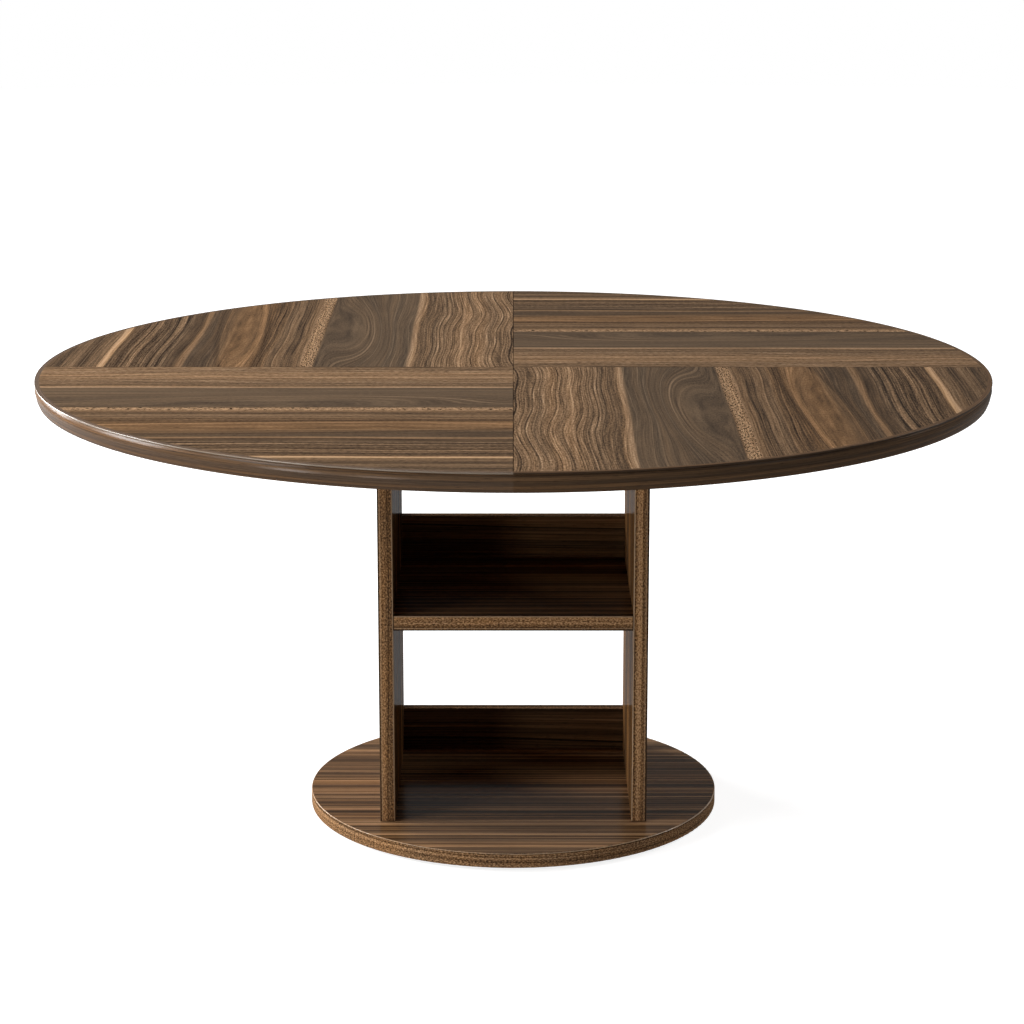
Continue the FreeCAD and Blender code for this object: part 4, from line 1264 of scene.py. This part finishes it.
@dataclass(frozen=True)
class LippingFinish(Finish):
    """Walnut lipping of the rim, streaked along its length, with a bead at its upper edge that
    carries painted light.

    Attributes:
        bead_coat: Weight of the clear coat on the bead.
        bead: Colour painted on the bead: a pale painted highlight on the polished lippings, a dark
            painted shade on the plain ones.
        bead_foot: Height of the bead's lower side in metres.
    """

    bead_coat: float
    bead: Colour
    bead_foot: float = 0.7690
    BEAD_SOFT: ClassVar[float] = 0.0006
    BEAD_FACING: ClassVar[Pair] = (0.80, 0.60)
    BEAD_SHARE: ClassVar[float] = 0.8
    WOOD: ClassVar[Weights] = {"seed": 6.5, "level": 0.22, "contrast": 0.45, "warmth": 1.15}
    FOLD: ClassVar[float] = 0.7
    NARROWING: ClassVar[float] = 2.2
    UNEVENNESS: ClassVar[float] = 0.10

    def paint(self, sheet: Sheet) -> Look:
        """Lays the grain round the rim, paints the bead with its painted highlight or painted
        shade, and coats it.

        Args:
            sheet: Sheet of the material.

        Returns:
            What goes on the shader.
        """
        x, y, z = sheet.place()
        radius = sheet.radius(x, y)
        along = sheet.math("ARCTAN2", y, x) * radius
        across = z + radius * self.FOLD
        wood = RibbonBoard().put(sheet, across=across * self.NARROWING, along=along, **self.WOOD)
        # The bead's side takes the bead colour, a painted highlight on the polished lippings and a
        # painted shade on the plain ones.
        bead = z.rise(self.bead_foot, self.bead_foot + self.BEAD_SOFT)
        bead = bead * sheet.normal()[2].rise(*self.BEAD_FACING)
        return Look(
            sheet.blend(bead * self.BEAD_SHARE, wood["colour"], self.bead),
            wood["relief"],
            self.handled(sheet, across, along, self.UNEVENNESS),
            self.coated(bead, self.bead_coat),
        )


@dataclass(frozen=True)
class PlainWoodFinish(Finish):
    """Solid hidden wood: bearers and dowels, sanded and unpolished."""

    axis: Axis = Axis.ALONG_X
    early: Colour = (0.50, 0.33, 0.18)
    late: Colour = (0.30, 0.17, 0.08)
    FOLD: ClassVar[float] = 0.8
    BEND: ClassVar[Cloud] = Cloud(9.0, 2.5, 0.012)
    LINES_PER_METRE: ClassVar[float] = 130.0
    LATE: ClassVar[Weights] = {"wide": 1.6, "fine": 0.8, "fibre": 0.5}
    LATE_RANGE: ClassVar[Pair] = (-0.25, 0.42)
    PORE_CELLS: ClassVar[Pair] = (700.0, 55.0)
    PORE_SHARE: ClassVar[float] = 0.4
    PORE_DARKNESS: ClassVar[float] = 0.4

    def paint(self, sheet: Sheet) -> Look:
        """Draws early and late wood with fibres and pores.

        Args:
            sheet: Sheet of the material.

        Returns:
            What goes on the shader.
        """
        x, y, z = sheet.place()
        along, beside = (x, y) if self.axis is Axis.ALONG_X else (y, x)
        across = beside + z * self.FOLD
        flow = across + self.BEND.over(sheet, across, along)
        lines = GrowthLines().over(sheet, flow, along, self.LINES_PER_METRE)
        pores = PoreFlecks().mask(sheet, flow, along, self.PORE_CELLS, self.PORE_SHARE)
        late = sheet.total(lines, self.LATE).rise(*self.LATE_RANGE)
        colour = sheet.blend(late, self.early, self.late)
        colour = sheet.blend(pores * self.PORE_DARKNESS, colour, self.late)
        return Look(colour, lines["fibre"] - pores)


@dataclass(frozen=True)
class MetalFinish(Finish):
    """Plated or cast metal, with a cloudy surface and fine marks."""

    light: Colour = (0.47, 0.48, 0.49)
    dull: Colour = (0.31, 0.32, 0.33)
    cells: float = 160.0
    FOLD: ClassVar[float] = 0.7
    MARKS: ClassVar[Cloud] = Cloud(2200.0, 500.0)
    MARK_SHARE: ClassVar[float] = 0.4
    DULL_RANGE: ClassVar[Pair] = (-0.15, 0.25)
    DULL_ROUGHNESS: ClassVar[float] = 0.18

    def paint(self, sheet: Sheet) -> Look:
        """Clouds the metal and roughens it where it is dull.

        Args:
            sheet: Sheet of the material.

        Returns:
            What goes on the shader.
        """
        x, y, z = sheet.place()
        across, along = x + z * self.FOLD, y + z * self.FOLD
        plating = Cloud(self.cells, self.cells, detail=3.0, roughness=0.65)
        clouds = plating.over(sheet, across, along)
        marks = self.MARKS.over(sheet, across, along)
        dull = (clouds + marks * self.MARK_SHARE).rise(*self.DULL_RANGE)
        colour = sheet.blend(dull, self.light, self.dull)
        roughness = dull * self.DULL_ROUGHNESS + self.surface.roughness
        return Look(colour, marks + clouds, roughness)


@dataclass(frozen=True)
class PadFinish(Finish):
    """Black moulded plastic with a fine spark-eroded grain."""

    body: Colour = (0.014, 0.014, 0.015)
    scuffed: Colour = (0.045, 0.044, 0.043)
    STIPPLE: ClassVar[Cloud] = Cloud(1500.0, 1500.0, detail=2.0)
    SCUFFS: ClassVar[Cloud] = Cloud(240.0, 90.0, detail=3.0, roughness=0.7)
    SCUFF_RANGE: ClassVar[Pair] = (0.05, 0.25)
    SCUFF_ROUGHNESS: ClassVar[float] = 0.15

    def paint(self, sheet: Sheet) -> Look:
        """Stipples the plastic and scuffs it a little.

        Args:
            sheet: Sheet of the material.

        Returns:
            What goes on the shader.
        """
        x, y, z = sheet.place()
        across, along = x + z, y - z
        scuff = self.SCUFFS.over(sheet, across, along).rise(*self.SCUFF_RANGE)
        colour = sheet.blend(scuff, self.body, self.scuffed)
        roughness = scuff * self.SCUFF_ROUGHNESS + self.surface.roughness
        return Look(colour, self.STIPPLE.over(sheet, across, along), roughness)


SATIN_TOP = Surface(relief=0.00005, roughness=0.55, coat=0.035, coat_roughness=0.16)
SATIN_SIDE = Surface(relief=0.00006, roughness=0.55, coat=0.065, coat_roughness=0.13)
SATIN_SHELF = Surface(relief=0.00006, roughness=0.60, coat=0.012, coat_roughness=0.20)
SATIN_RAIL = Surface(relief=0.00006, roughness=0.55, coat=0.055, coat_roughness=0.16)
SATIN_BASE = Surface(relief=0.00006, roughness=0.55, coat=0.10, coat_roughness=0.16)
SATIN_EDGE = Surface(relief=0.00008, roughness=0.50, coat=0.03, coat_roughness=0.20)
RIM_PLAIN = Surface(relief=0.00004, roughness=0.45, coat=0.08, coat_roughness=0.20)
RIM_POLISH = Surface(relief=0.00004, roughness=0.45, coat=0.22, coat_roughness=0.22)
SANDED = Surface(relief=0.0001, roughness=0.6, specular=0.25)
PLATED = Surface(relief=0.00002, roughness=0.28, specular=0.5, metallic=1.0)
AS_CAST = Surface(relief=0.00004, roughness=0.40, specular=0.5, metallic=1.0)
MOULDED = Surface(relief=0.00006, roughness=0.45, specular=0.4)


class Finishes:
    """Every finish of the table, by the maker's name for it."""

    BOARD_X = BoardFinish("walnut_board_along", SATIN_SHELF, level=0.32, warmth=1.4)
    RAIL_X = BoardFinish("walnut_rail_along", SATIN_RAIL, level=0.40, seed=3.1, warmth=1.4)
    BOARD_Z = BoardFinish(
        "walnut_board_upright", SATIN_SIDE, Axis.UPRIGHT, level=0.33, seed=1.7, warmth=1.6
    )
    BASE = BoardFinish(
        "walnut_base", SATIN_BASE, level=0.44, contrast=1.4, seed=14.7, warmth=1.0, narrowing=1.8
    )
    EDGE_X = BandFinish(
        "walnut_edge_along",
        SATIN_EDGE,
        level=0.58,
        seed=0.4,
        warmth=1.3,
        lines=BandLines(middle=0.378, outer=-1.0, streak=-0.0055, end=0.199),
    )
    EDGE_Z = BandFinish(
        "walnut_edge_upright",
        SATIN_EDGE,
        Axis.UPRIGHT,
        level=0.58,
        seed=2.2,
        warmth=1.3,
        lines=BandLines(middle=0.2115, outer=1.0, streak=0.0045, end=0.0315),
    )
    EDGE_RAIL = BandFinish("walnut_edge_rail", SATIN_EDGE, level=0.34, seed=0.9, warmth=1.3)
    EDGE_ROUND = BandFinish(
        "walnut_edge_round", SATIN_EDGE, Axis.ROUND, level=0.52, seed=4.1, arris_coat=0.4
    )
    # Painted light on the bead: the polished lippings of the left quarters carry a pale painted
    # highlight, the plain ones of the right quarters a dark painted shade.
    LIPPING_POLISHED_PAINTED_HIGHLIGHT = LippingFinish(
        "walnut_lipping_polished_painted_highlight", RIM_POLISH, bead_coat=0.95, bead=(0.16, 0.115, 0.075)
    )
    LIPPING_PLAIN_PAINTED_SHADE = LippingFinish(
        "walnut_lipping_plain_painted_shade", RIM_PLAIN, bead_coat=0.10, bead=(0.030, 0.018, 0.011)
    )
    BEARER_X = PlainWoodFinish("bearer_wood_along", SANDED)
    BEARER_Y = PlainWoodFinish("bearer_wood_cross", SANDED, Axis.ALONG_Y)
    DOWEL = PlainWoodFinish(
        "dowel_beech", SANDED, early=(0.62, 0.42, 0.25), late=(0.48, 0.29, 0.15)
    )
    ZINC = MetalFinish("zinc_plated_steel", PLATED)
    CAST = MetalFinish(
        "cast_zinc", AS_CAST, light=(0.50, 0.50, 0.51), dull=(0.33, 0.33, 0.34), cells=420.0
    )
    PAD = PadFinish("black_pad", MOULDED)


def dress(names: Iterable[str], finish: Finish) -> None:
    """Puts a finish on CAD nodes by their material slots.

    Args:
        names: Names of the nodes.
        finish: The finish they get.
    """
    material = finish.material()
    for name in names:
        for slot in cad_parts[name].material_slots:
            slot.material = material
        LOG.info("%s gets %s", name, finish.name)


class Quarter(Enum):
    """Quarters of the top: the leaf's turn in degrees, its painted sheen, and the lipping with
    painted light on its bead.
    """

    # Second number: painted sheen that lightens the leaf; left quarters' lippings have a painted
    # highlight on the bead, right quarters' a painted shade.
    FRONT_RIGHT = (0.0, 1.0, Finishes.LIPPING_PLAIN_PAINTED_SHADE)
    FRONT_LEFT = (90.0, 1.13, Finishes.LIPPING_POLISHED_PAINTED_HIGHLIGHT)
    BACK_LEFT = (180.0, 1.04, Finishes.LIPPING_POLISHED_PAINTED_HIGHLIGHT)
    BACK_RIGHT = (270.0, 1.05, Finishes.LIPPING_PLAIN_PAINTED_SHADE)

    def dress(self) -> None:
        """Lays the leaf on the quarter's panel and finishes its lipping."""
        turn, painted_sheen, lipping = self.value
        label = self.name.lower()
        leaf = LeafFinish(f"walnut_leaf_{label}", SATIN_TOP, turn, painted_sheen)
        dress([f"top_panel_{label}"], leaf)
        dress([f"rim_lipping_{label}"], lipping)


@dataclass
class RoundTop:
    """The round top: four veneered quarters, their moulded lippings and what joins them."""

    hardware: tuple[str, ...] = ("seam_plates", "seam_plate_screws")

    def dress(self) -> None:
        """Finishes the quarters, the plates, the screws and the dowels."""
        for quarter in Quarter:
            quarter.dress()
        dress(self.hardware, Finishes.ZINC)
        dress(["seam_dowels"], Finishes.DOWEL)


@dataclass
class BearerFrame:
    """The halved bearers under the top, their brackets and screws."""

    lengthwise: tuple[str, ...] = ("bearer_front", "bearer_back")
    crosswise: tuple[str, ...] = ("cross_bearer_left", "cross_bearer_right")
    hardware: tuple[str, ...] = ("bearer_screws", "bearer_brackets", "bracket_screws")

    def dress(self) -> None:
        """Finishes the bearers and their hardware."""
        dress(self.lengthwise, Finishes.BEARER_X)
        dress(self.crosswise, Finishes.BEARER_Y)
        dress(self.hardware, Finishes.ZINC)


@dataclass
class Pedestal:
    """The open case that carries the top: two side panels, a shelf and two low rails."""

    sides: tuple[str, ...] = ("side_panel_left", "side_panel_right")
    rails: tuple[str, ...] = ("shelf_rail", "base_rail")
    ends: tuple[str, ...] = ("front", "back")

    def dress(self) -> None:
        """Veneers the boards, bands their edges and finishes the fittings."""
        dress(self.sides, Finishes.BOARD_Z)
        dress([f"{side}_{end}_band" for side in self.sides for end in self.ends], Finishes.EDGE_Z)
        dress(["shelf"], Finishes.BOARD_X)
        dress(self.rails, Finishes.RAIL_X)
        dress([f"shelf_{end}_band" for end in self.ends], Finishes.EDGE_X)
        dress([f"{rail}_band" for rail in self.rails], Finishes.EDGE_RAIL)
        dress(["cam_locks"], Finishes.CAST)
        dress(["cam_bolts", "panel_screws", "rail_screws"], Finishes.ZINC)
        dress(["end_dowels"], Finishes.DOWEL)


@dataclass
class BaseDisc:
    """The round base with its rim band and the inserts for the feet."""

    hardware: tuple[str, ...] = ("foot_inserts",)

    def dress(self) -> None:
        """Veneers the disc, bands its rim and finishes the inserts."""
        dress(["base_disc"], Finishes.BASE)
        dress(["base_rim_band"], Finishes.EDGE_ROUND)
        dress(self.hardware, Finishes.ZINC)


def select(pieces: list[bpy.types.Object]) -> None:
    """Selects these pieces and no others, and makes the first one active.

    Args:
        pieces: The pieces; an empty list only clears the selection.
    """
    bpy.ops.object.select_all(action="DESELECT")
    for piece in pieces:
        piece.select_set(True)
    if pieces:
        bpy.context.view_layer.objects.active = pieces[0]


@contextmanager
def editing() -> Iterator[None]:
    """Opens the active piece in edit mode with its whole mesh selected, and closes it after."""
    bpy.ops.object.mode_set(mode="EDIT")
    bpy.ops.mesh.select_all(action="SELECT")
    yield
    bpy.ops.object.mode_set(mode="OBJECT")


@dataclass
class ThreadedStem:
    """Stem of a levelling foot (millimetres and degrees, standing on the floor at the origin).

    Attributes:
        spigot_diameter: Diameter of the end that turns in the pad.
        spigot_low: Height of the spigot's lower end.
        hex_low: Height of the collar's lower face.
        hex_width: Width of the six-sided collar across its flats.
        hex_high: Height of the collar's upper face.
        top: Height of the shank's upper end.
        thread_diameter: Diameter over the crests of the thread.
        core_diameter: Diameter at the roots of the thread.
        pitch: Rise of the thread in one turn.
        turns: Number of turns of the thread.
        thread_low: Height at which the thread begins.
    """

    spigot_diameter: float = 10.0
    spigot_low: float = 1.5
    hex_low: float = 4.0
    hex_width: float = 13.0
    hex_high: float = 6.5
    top: float = 26.5
    thread_diameter: float = 8.0
    core_diameter: float = 6.6
    pitch: float = 1.25
    turns: int = 14
    thread_low: float = 7.5
    ROUND_SIDES: ClassVar[int] = 40
    HEX_SIDES: ClassVar[int] = 6
    HEX_TURN: ClassVar[float] = 30.0
    SHANK_LAP: ClassVar[float] = 0.4
    SPIGOT_LAP: ClassVar[float] = 0.3
    SHANK_EASE: ClassVar[float] = 0.5
    HEX_EASE: ClassVar[float] = 0.25
    SPIGOT_EASE: ClassVar[float] = 0.2
    RIDGE_ROOT: ClassVar[float] = 0.1
    RIDGE_SHARE: ClassVar[float] = 0.48
    STEPS: ClassVar[int] = 28
    SHARP: ClassVar[float] = 40.0
    SMOOTH: ClassVar[float] = 35.0

    def bar(
        self, sides: int, radius: float, low: float, high: float, ease: float
    ) -> bpy.types.Object:
        """Makes a round or many-sided bar with eased edges.

        Args:
            sides: Number of its sides.
            radius: Radius over its corners.
            low: Height of its lower end.
            high: Height of its upper end.
            ease: Width of the easing.

        Returns:
            The bar.
        """
        select([])
        bpy.ops.mesh.primitive_cylinder_add(
            vertices=sides, radius=radius * MILLIMETRE, depth=(high - low) * MILLIMETRE
        )
        turn = math.radians(self.HEX_TURN)
        with editing():
            bpy.ops.transform.rotate(value=turn, orient_axis="Z", center_override=MIDDLE)
            bpy.ops.transform.translate(value=(0.0, 0.0, (low + high) / 2.0 * MILLIMETRE))
            bpy.ops.mesh.select_all(action="DESELECT")
            bpy.ops.mesh.edges_select_sharp(sharpness=math.radians(self.SHARP))
            bpy.ops.mesh.bevel(offset=ease * MILLIMETRE, segments=2, affect="EDGES")
        return bpy.context.object

    def ridge(self) -> bpy.types.Object:
        """Winds a V-shaped ridge up the shank, right-handed.

        Returns:
            The ridge.
        """
        depth = (self.thread_diameter - self.core_diameter) / 2.0 + self.RIDGE_ROOT
        scale = (depth * MILLIMETRE, 1.0, self.pitch * self.RIDGE_SHARE * MILLIMETRE)
        start = (self.thread_diameter / 2.0 - depth, 0.0, self.thread_low)
        upright = math.radians(90.0)
        select([])
        bpy.ops.mesh.primitive_circle_add(vertices=4, radius=1.0)
        with editing():
            bpy.ops.transform.rotate(value=upright, orient_axis="X", center_override=MIDDLE)
            bpy.ops.transform.resize(value=scale, center_override=MIDDLE)
            bpy.ops.transform.translate(value=tuple(part * MILLIMETRE for part in start))
        ridge = bpy.context.object
        bpy.ops.object.modifier_add(type="SCREW")
        screw = ridge.modifiers[-1]
        screw.angle = math.tau
        screw.screw_offset = self.pitch * MILLIMETRE
        screw.iterations = self.turns
        screw.steps = screw.render_steps = self.STEPS
        bpy.ops.object.modifier_apply(modifier=screw.name)
        with editing():
            bpy.ops.mesh.fill_holes(sides=4)
            bpy.ops.mesh.select_all(action="SELECT")
            bpy.ops.mesh.normals_make_consistent(inside=False)
        return ridge

    def build(self) -> bpy.types.Object:
        """Makes the stem at the origin, of shank, collar, spigot and thread.

        Returns:
            The stem.
        """
        core, spigot = self.core_diameter / 2.0, self.spigot_diameter / 2.0
        corner = self.hex_width / 2.0 / math.cos(math.pi / self.HEX_SIDES)
        shank_low, spigot_high = self.hex_high - self.SHANK_LAP, self.hex_low + self.SPIGOT_LAP
        parts = [
            self.bar(self.ROUND_SIDES, core, shank_low, self.top, self.SHANK_EASE),
            self.bar(self.HEX_SIDES, corner, self.hex_low, self.hex_high, self.HEX_EASE),
            self.bar(self.ROUND_SIDES, spigot, self.spigot_low, spigot_high, self.SPIGOT_EASE),
            self.ridge(),
        ]
        select(parts)
        bpy.ops.object.join()
        bpy.ops.object.shade_smooth_by_angle(angle=math.radians(self.SMOOTH))
        LOG.info("threaded stem: %d faces", len(parts[0].data.polygons))
        return parts[0]


@dataclass
class LevellingFeet:
    """Six levelling feet, each a swivel pad on a threaded stem."""

    count: int = 6
    stem: ThreadedStem = field(default_factory=ThreadedStem)

    def place(self, stem: bpy.types.Object, number: int) -> None:
        """Moves a stem into a foot and hands it over to the frame.

        Args:
            stem: Stem at the origin.
            number: Number of the foot.
        """
        low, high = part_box(f"foot_stem_{number}")
        stem.name = stem.data.name = f"threaded_stem_{number}"
        select([stem])
        with editing():
            middle = ((low[0] + high[0]) / 2.0, (low[1] + high[1]) / 2.0, 0.0)
            bpy.ops.transform.translate(value=middle)
        stem.data.materials.append(Finishes.ZINC.material())
        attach(stem, f"foot_{number}_stem")
        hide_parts(f"foot_stem_{number}")
        LOG.info("%s stands in foot %d", stem.name, number)

    def build(self) -> None:
        """Models the stem once and puts it, or a copy of it, in each foot."""
        stems = [self.stem.build()]
        for _ in range(1, self.count):
            bpy.ops.object.duplicate(linked=False)
            stems.append(bpy.context.object)
        for number, stem in enumerate(stems, 1):
            self.place(stem, number)

    def dress(self) -> None:
        """Finishes the pads."""
        dress([f"foot_pad_{number}" for number in range(1, self.count + 1)], Finishes.PAD)


@dataclass(frozen=True)
class Softbox:
    """A square soft lamp that faces a point.

    Attributes:
        name: Name of the lamp.
        place: Where it stands, in metres.
        target: Point that it faces.
        size: Length of its side in metres.
        power: Power in watts.
    """

    name: str
    place: Place
    target: Place
    size: float
    power: float
    RING_RADIUS: ClassVar[float] = 6.0
    RING_TARGET: ClassVar[Place] = (0.0, 0.0, 0.45)

    @classmethod
    def on_ring(
        cls, name: str, azimuth: float, elevation: float, power: float, size: float = 1.9
    ) -> "Softbox":
        """Places a lamp on a ring about the table.

        Args:
            name: Name of the lamp.
            azimuth: Degrees round from the front, to the left.
            elevation: Degrees up from the level of the target.
            power: Power in watts.
            size: Length of its side in metres.

        Returns:
            The lamp, facing the middle of the table.
        """
        turn, lift = math.radians(azimuth), math.radians(elevation)
        away = (-math.sin(turn) * math.cos(lift), -math.cos(turn) * math.cos(lift), math.sin(lift))
        place = tuple(a * cls.RING_RADIUS + b for a, b in zip(away, cls.RING_TARGET))
        return cls(name, place, cls.RING_TARGET, size, power)

    def hang(self) -> None:
        """Makes the lamp and turns it to its target."""
        lamp = bpy.data.lights.new(self.name, "AREA")
        lamp.shape = "SQUARE"
        lamp.size = self.size
        lamp.energy = self.power
        holder = bpy.data.objects.new(self.name, lamp)
        holder.location = self.place
        aim = Vector(self.target) - Vector(self.place)
        holder.rotation_euler = aim.to_track_quat("-Z", "Y").to_euler()
        bpy.context.scene.collection.objects.link(holder)


# On the ring: name, azimuth, elevation, power and, where it isn't the usual one, size.
LAMPS = (
    Softbox("overhead", (0.0, 0.2, 3.4), (0.0, 0.0, 0.77), size=3.2, power=5.0),
    Softbox.on_ring("left_key", 60.0, 28.0, 105.0),
    Softbox.on_ring("left_low", 48.0, 2.0, 66.0, 0.9),
    Softbox.on_ring("left_front", 28.0, 1.0, 28.0, 0.9),
    Softbox.on_ring("left_side", 95.0, 20.0, 390.0),
    Softbox.on_ring("left_back", 130.0, 14.0, 290.0),
    Softbox.on_ring("right_fill", -60.0, 28.0, 24.0),
    Softbox.on_ring("right_side", -110.0, 25.0, 100.0),
    Softbox.on_ring("rim_front", 14.0, 60.0, 44.0, 1.3),
    Softbox.on_ring("rim_left", 42.0, 60.0, 38.0, 1.3),
    Softbox.on_ring("rim_side", 74.0, 60.0, 28.0, 1.3),
)


@dataclass
class Studio:
    """Pale floor, soft lamps, white surround and the camera (metres, millimetres of film, degrees).

    Attributes:
        floor_radius: Radius of the floor.
        floor_sides: Number of sides of its outline.
        floor_colour: Its colour.
        glow_near: Brightness to the eye under the table; far from it the floor is white.
        glow_radii: Where the brightness begins to rise to white, and where it is white.
        ambient: Strength of the surround's light on the table.
        lens: Focal length of the camera.
        sensor: Width of its film.
        camera_place: Where it stands.
        camera_pitch: How far it looks down.
        camera_yaw: How far it looks to the left.
        camera_reach: Distance to which it sees.
        lamps: The lamps.
    """

    floor_radius: float = 14.0
    floor_sides: int = 96
    floor_colour: Colour = (0.55, 0.55, 0.55)
    glow_near: float = 0.84
    glow_radii: Pair = (0.7, 2.6)
    ambient: float = 0.010
    lens: float = 99.18
    sensor: float = 36.0
    camera_place: Place = (0.0, -4.69377, 1.6651)
    camera_pitch: float = 13.7101
    camera_yaw: float = 0.0275
    camera_reach: float = 100.0
    lamps: tuple[Softbox, ...] = LAMPS

    @staticmethod
    def seen(sheet: Sheet) -> Signal:
        """Gives 1 for rays of the eye, of reflections and through glass, and 0 for other light.

        Args:
            sheet: Sheet of the floor or of the surround.

        Returns:
            The mask.
        """
        path = sheet.add("ShaderNodeLightPath")
        kinds = ("Camera", "Glossy", "Transmission")
        eye, gloss, glass = (Signal(sheet, path.outputs[f"Is {kind} Ray"]) for kind in kinds)
        return eye.or_more(gloss).or_more(glass)

    def floor_material(self) -> bpy.types.Material:
        """Makes a material that is white to the eye, takes shadow and is clear from below.

        Returns:
            The material.
        """
        material = bpy.data.materials.new("pale_floor")
        material.use_nodes = True
        sheet = Sheet(material.node_tree)
        sheet.tree.nodes.remove(sheet.tree.nodes["Principled BSDF"])
        body = sheet.add("ShaderNodeBsdfDiffuse")
        body.inputs["Color"].default_value = (*self.floor_colour, 1.0)
        x, y, _ = sheet.place()
        glow = sheet.radius(x, y).rise(*self.glow_radii) * (1.0 - self.glow_near) + self.glow_near
        light = sheet.add("ShaderNodeEmission")
        sheet.feed(light.inputs["Strength"], glow * self.seen(sheet))
        above = sheet.add("ShaderNodeAddShader")
        below = sheet.add("ShaderNodeBsdfTransparent")
        surface = sheet.add("ShaderNodeMixShader")
        facing = Signal(sheet, sheet.add("ShaderNodeNewGeometry").outputs["Backfacing"])
        sheet.feed(surface.inputs[0], facing)
        for node, socket in (
            (body, above.inputs[0]),
            (light, above.inputs[1]),
            (above, surface.inputs[1]),
            (below, surface.inputs[2]),
            (surface, sheet.tree.nodes["Material Output"].inputs["Surface"]),
        ):
            sheet.lead(node, socket)
        return material

    def lay_floor(self) -> None:
        """Makes the floor."""
        select([])
        bpy.ops.mesh.primitive_circle_add(
            vertices=self.floor_sides, radius=self.floor_radius, fill_type="NGON"
        )
        floor = bpy.context.object
        floor.name = "floor"
        floor.data.materials.append(self.floor_material())

    def surround(self) -> None:
        """Makes the world white to the eye and a weak ambient light otherwise."""
        world = bpy.data.worlds.new("white_surround")
        bpy.context.scene.world = world
        world.use_nodes = True
        sheet = Sheet(world.node_tree)
        background = sheet.tree.nodes["Background"]
        background.inputs["Color"].default_value = (1.0, 1.0, 1.0, 1.0)
        strength = self.seen(sheet) * (1.0 - self.ambient) + self.ambient
        sheet.feed(background.inputs["Strength"], strength)

    def set_camera(self) -> None:
        """Stands the camera where the photograph was taken from."""
        data = bpy.data.cameras.new("camera")
        data.lens = self.lens
        data.sensor_width = self.sensor
        data.clip_end = self.camera_reach
        camera = bpy.data.objects.new("camera", data)
        camera.location = self.camera_place
        pitch, yaw = math.radians(90.0 - self.camera_pitch), math.radians(self.camera_yaw)
        camera.rotation_euler = (pitch, 0.0, yaw)
        bpy.context.scene.collection.objects.link(camera)
        bpy.context.scene.camera = camera

    def build(self) -> None:
        """Sets up floor, lamps, surround and camera."""
        self.lay_floor()
        for lamp in self.lamps:
            lamp.hang()
        self.surround()
        self.set_camera()
        bpy.context.scene.view_settings.view_transform = "Standard"


def main() -> None:
    """Builds the feet, dresses the table and sets up the studio."""
    logging.basicConfig(level=logging.INFO, format="%(message)s")
    feet = LevellingFeet()
    feet.build()
    for assembly in (RoundTop(), BearerFrame(), Pedestal(), BaseDisc(), feet):
        assembly.dress()
        LOG.info("%s is dressed", type(assembly).__name__)
    Studio().build()


if __name__ == "__main__":
    main()
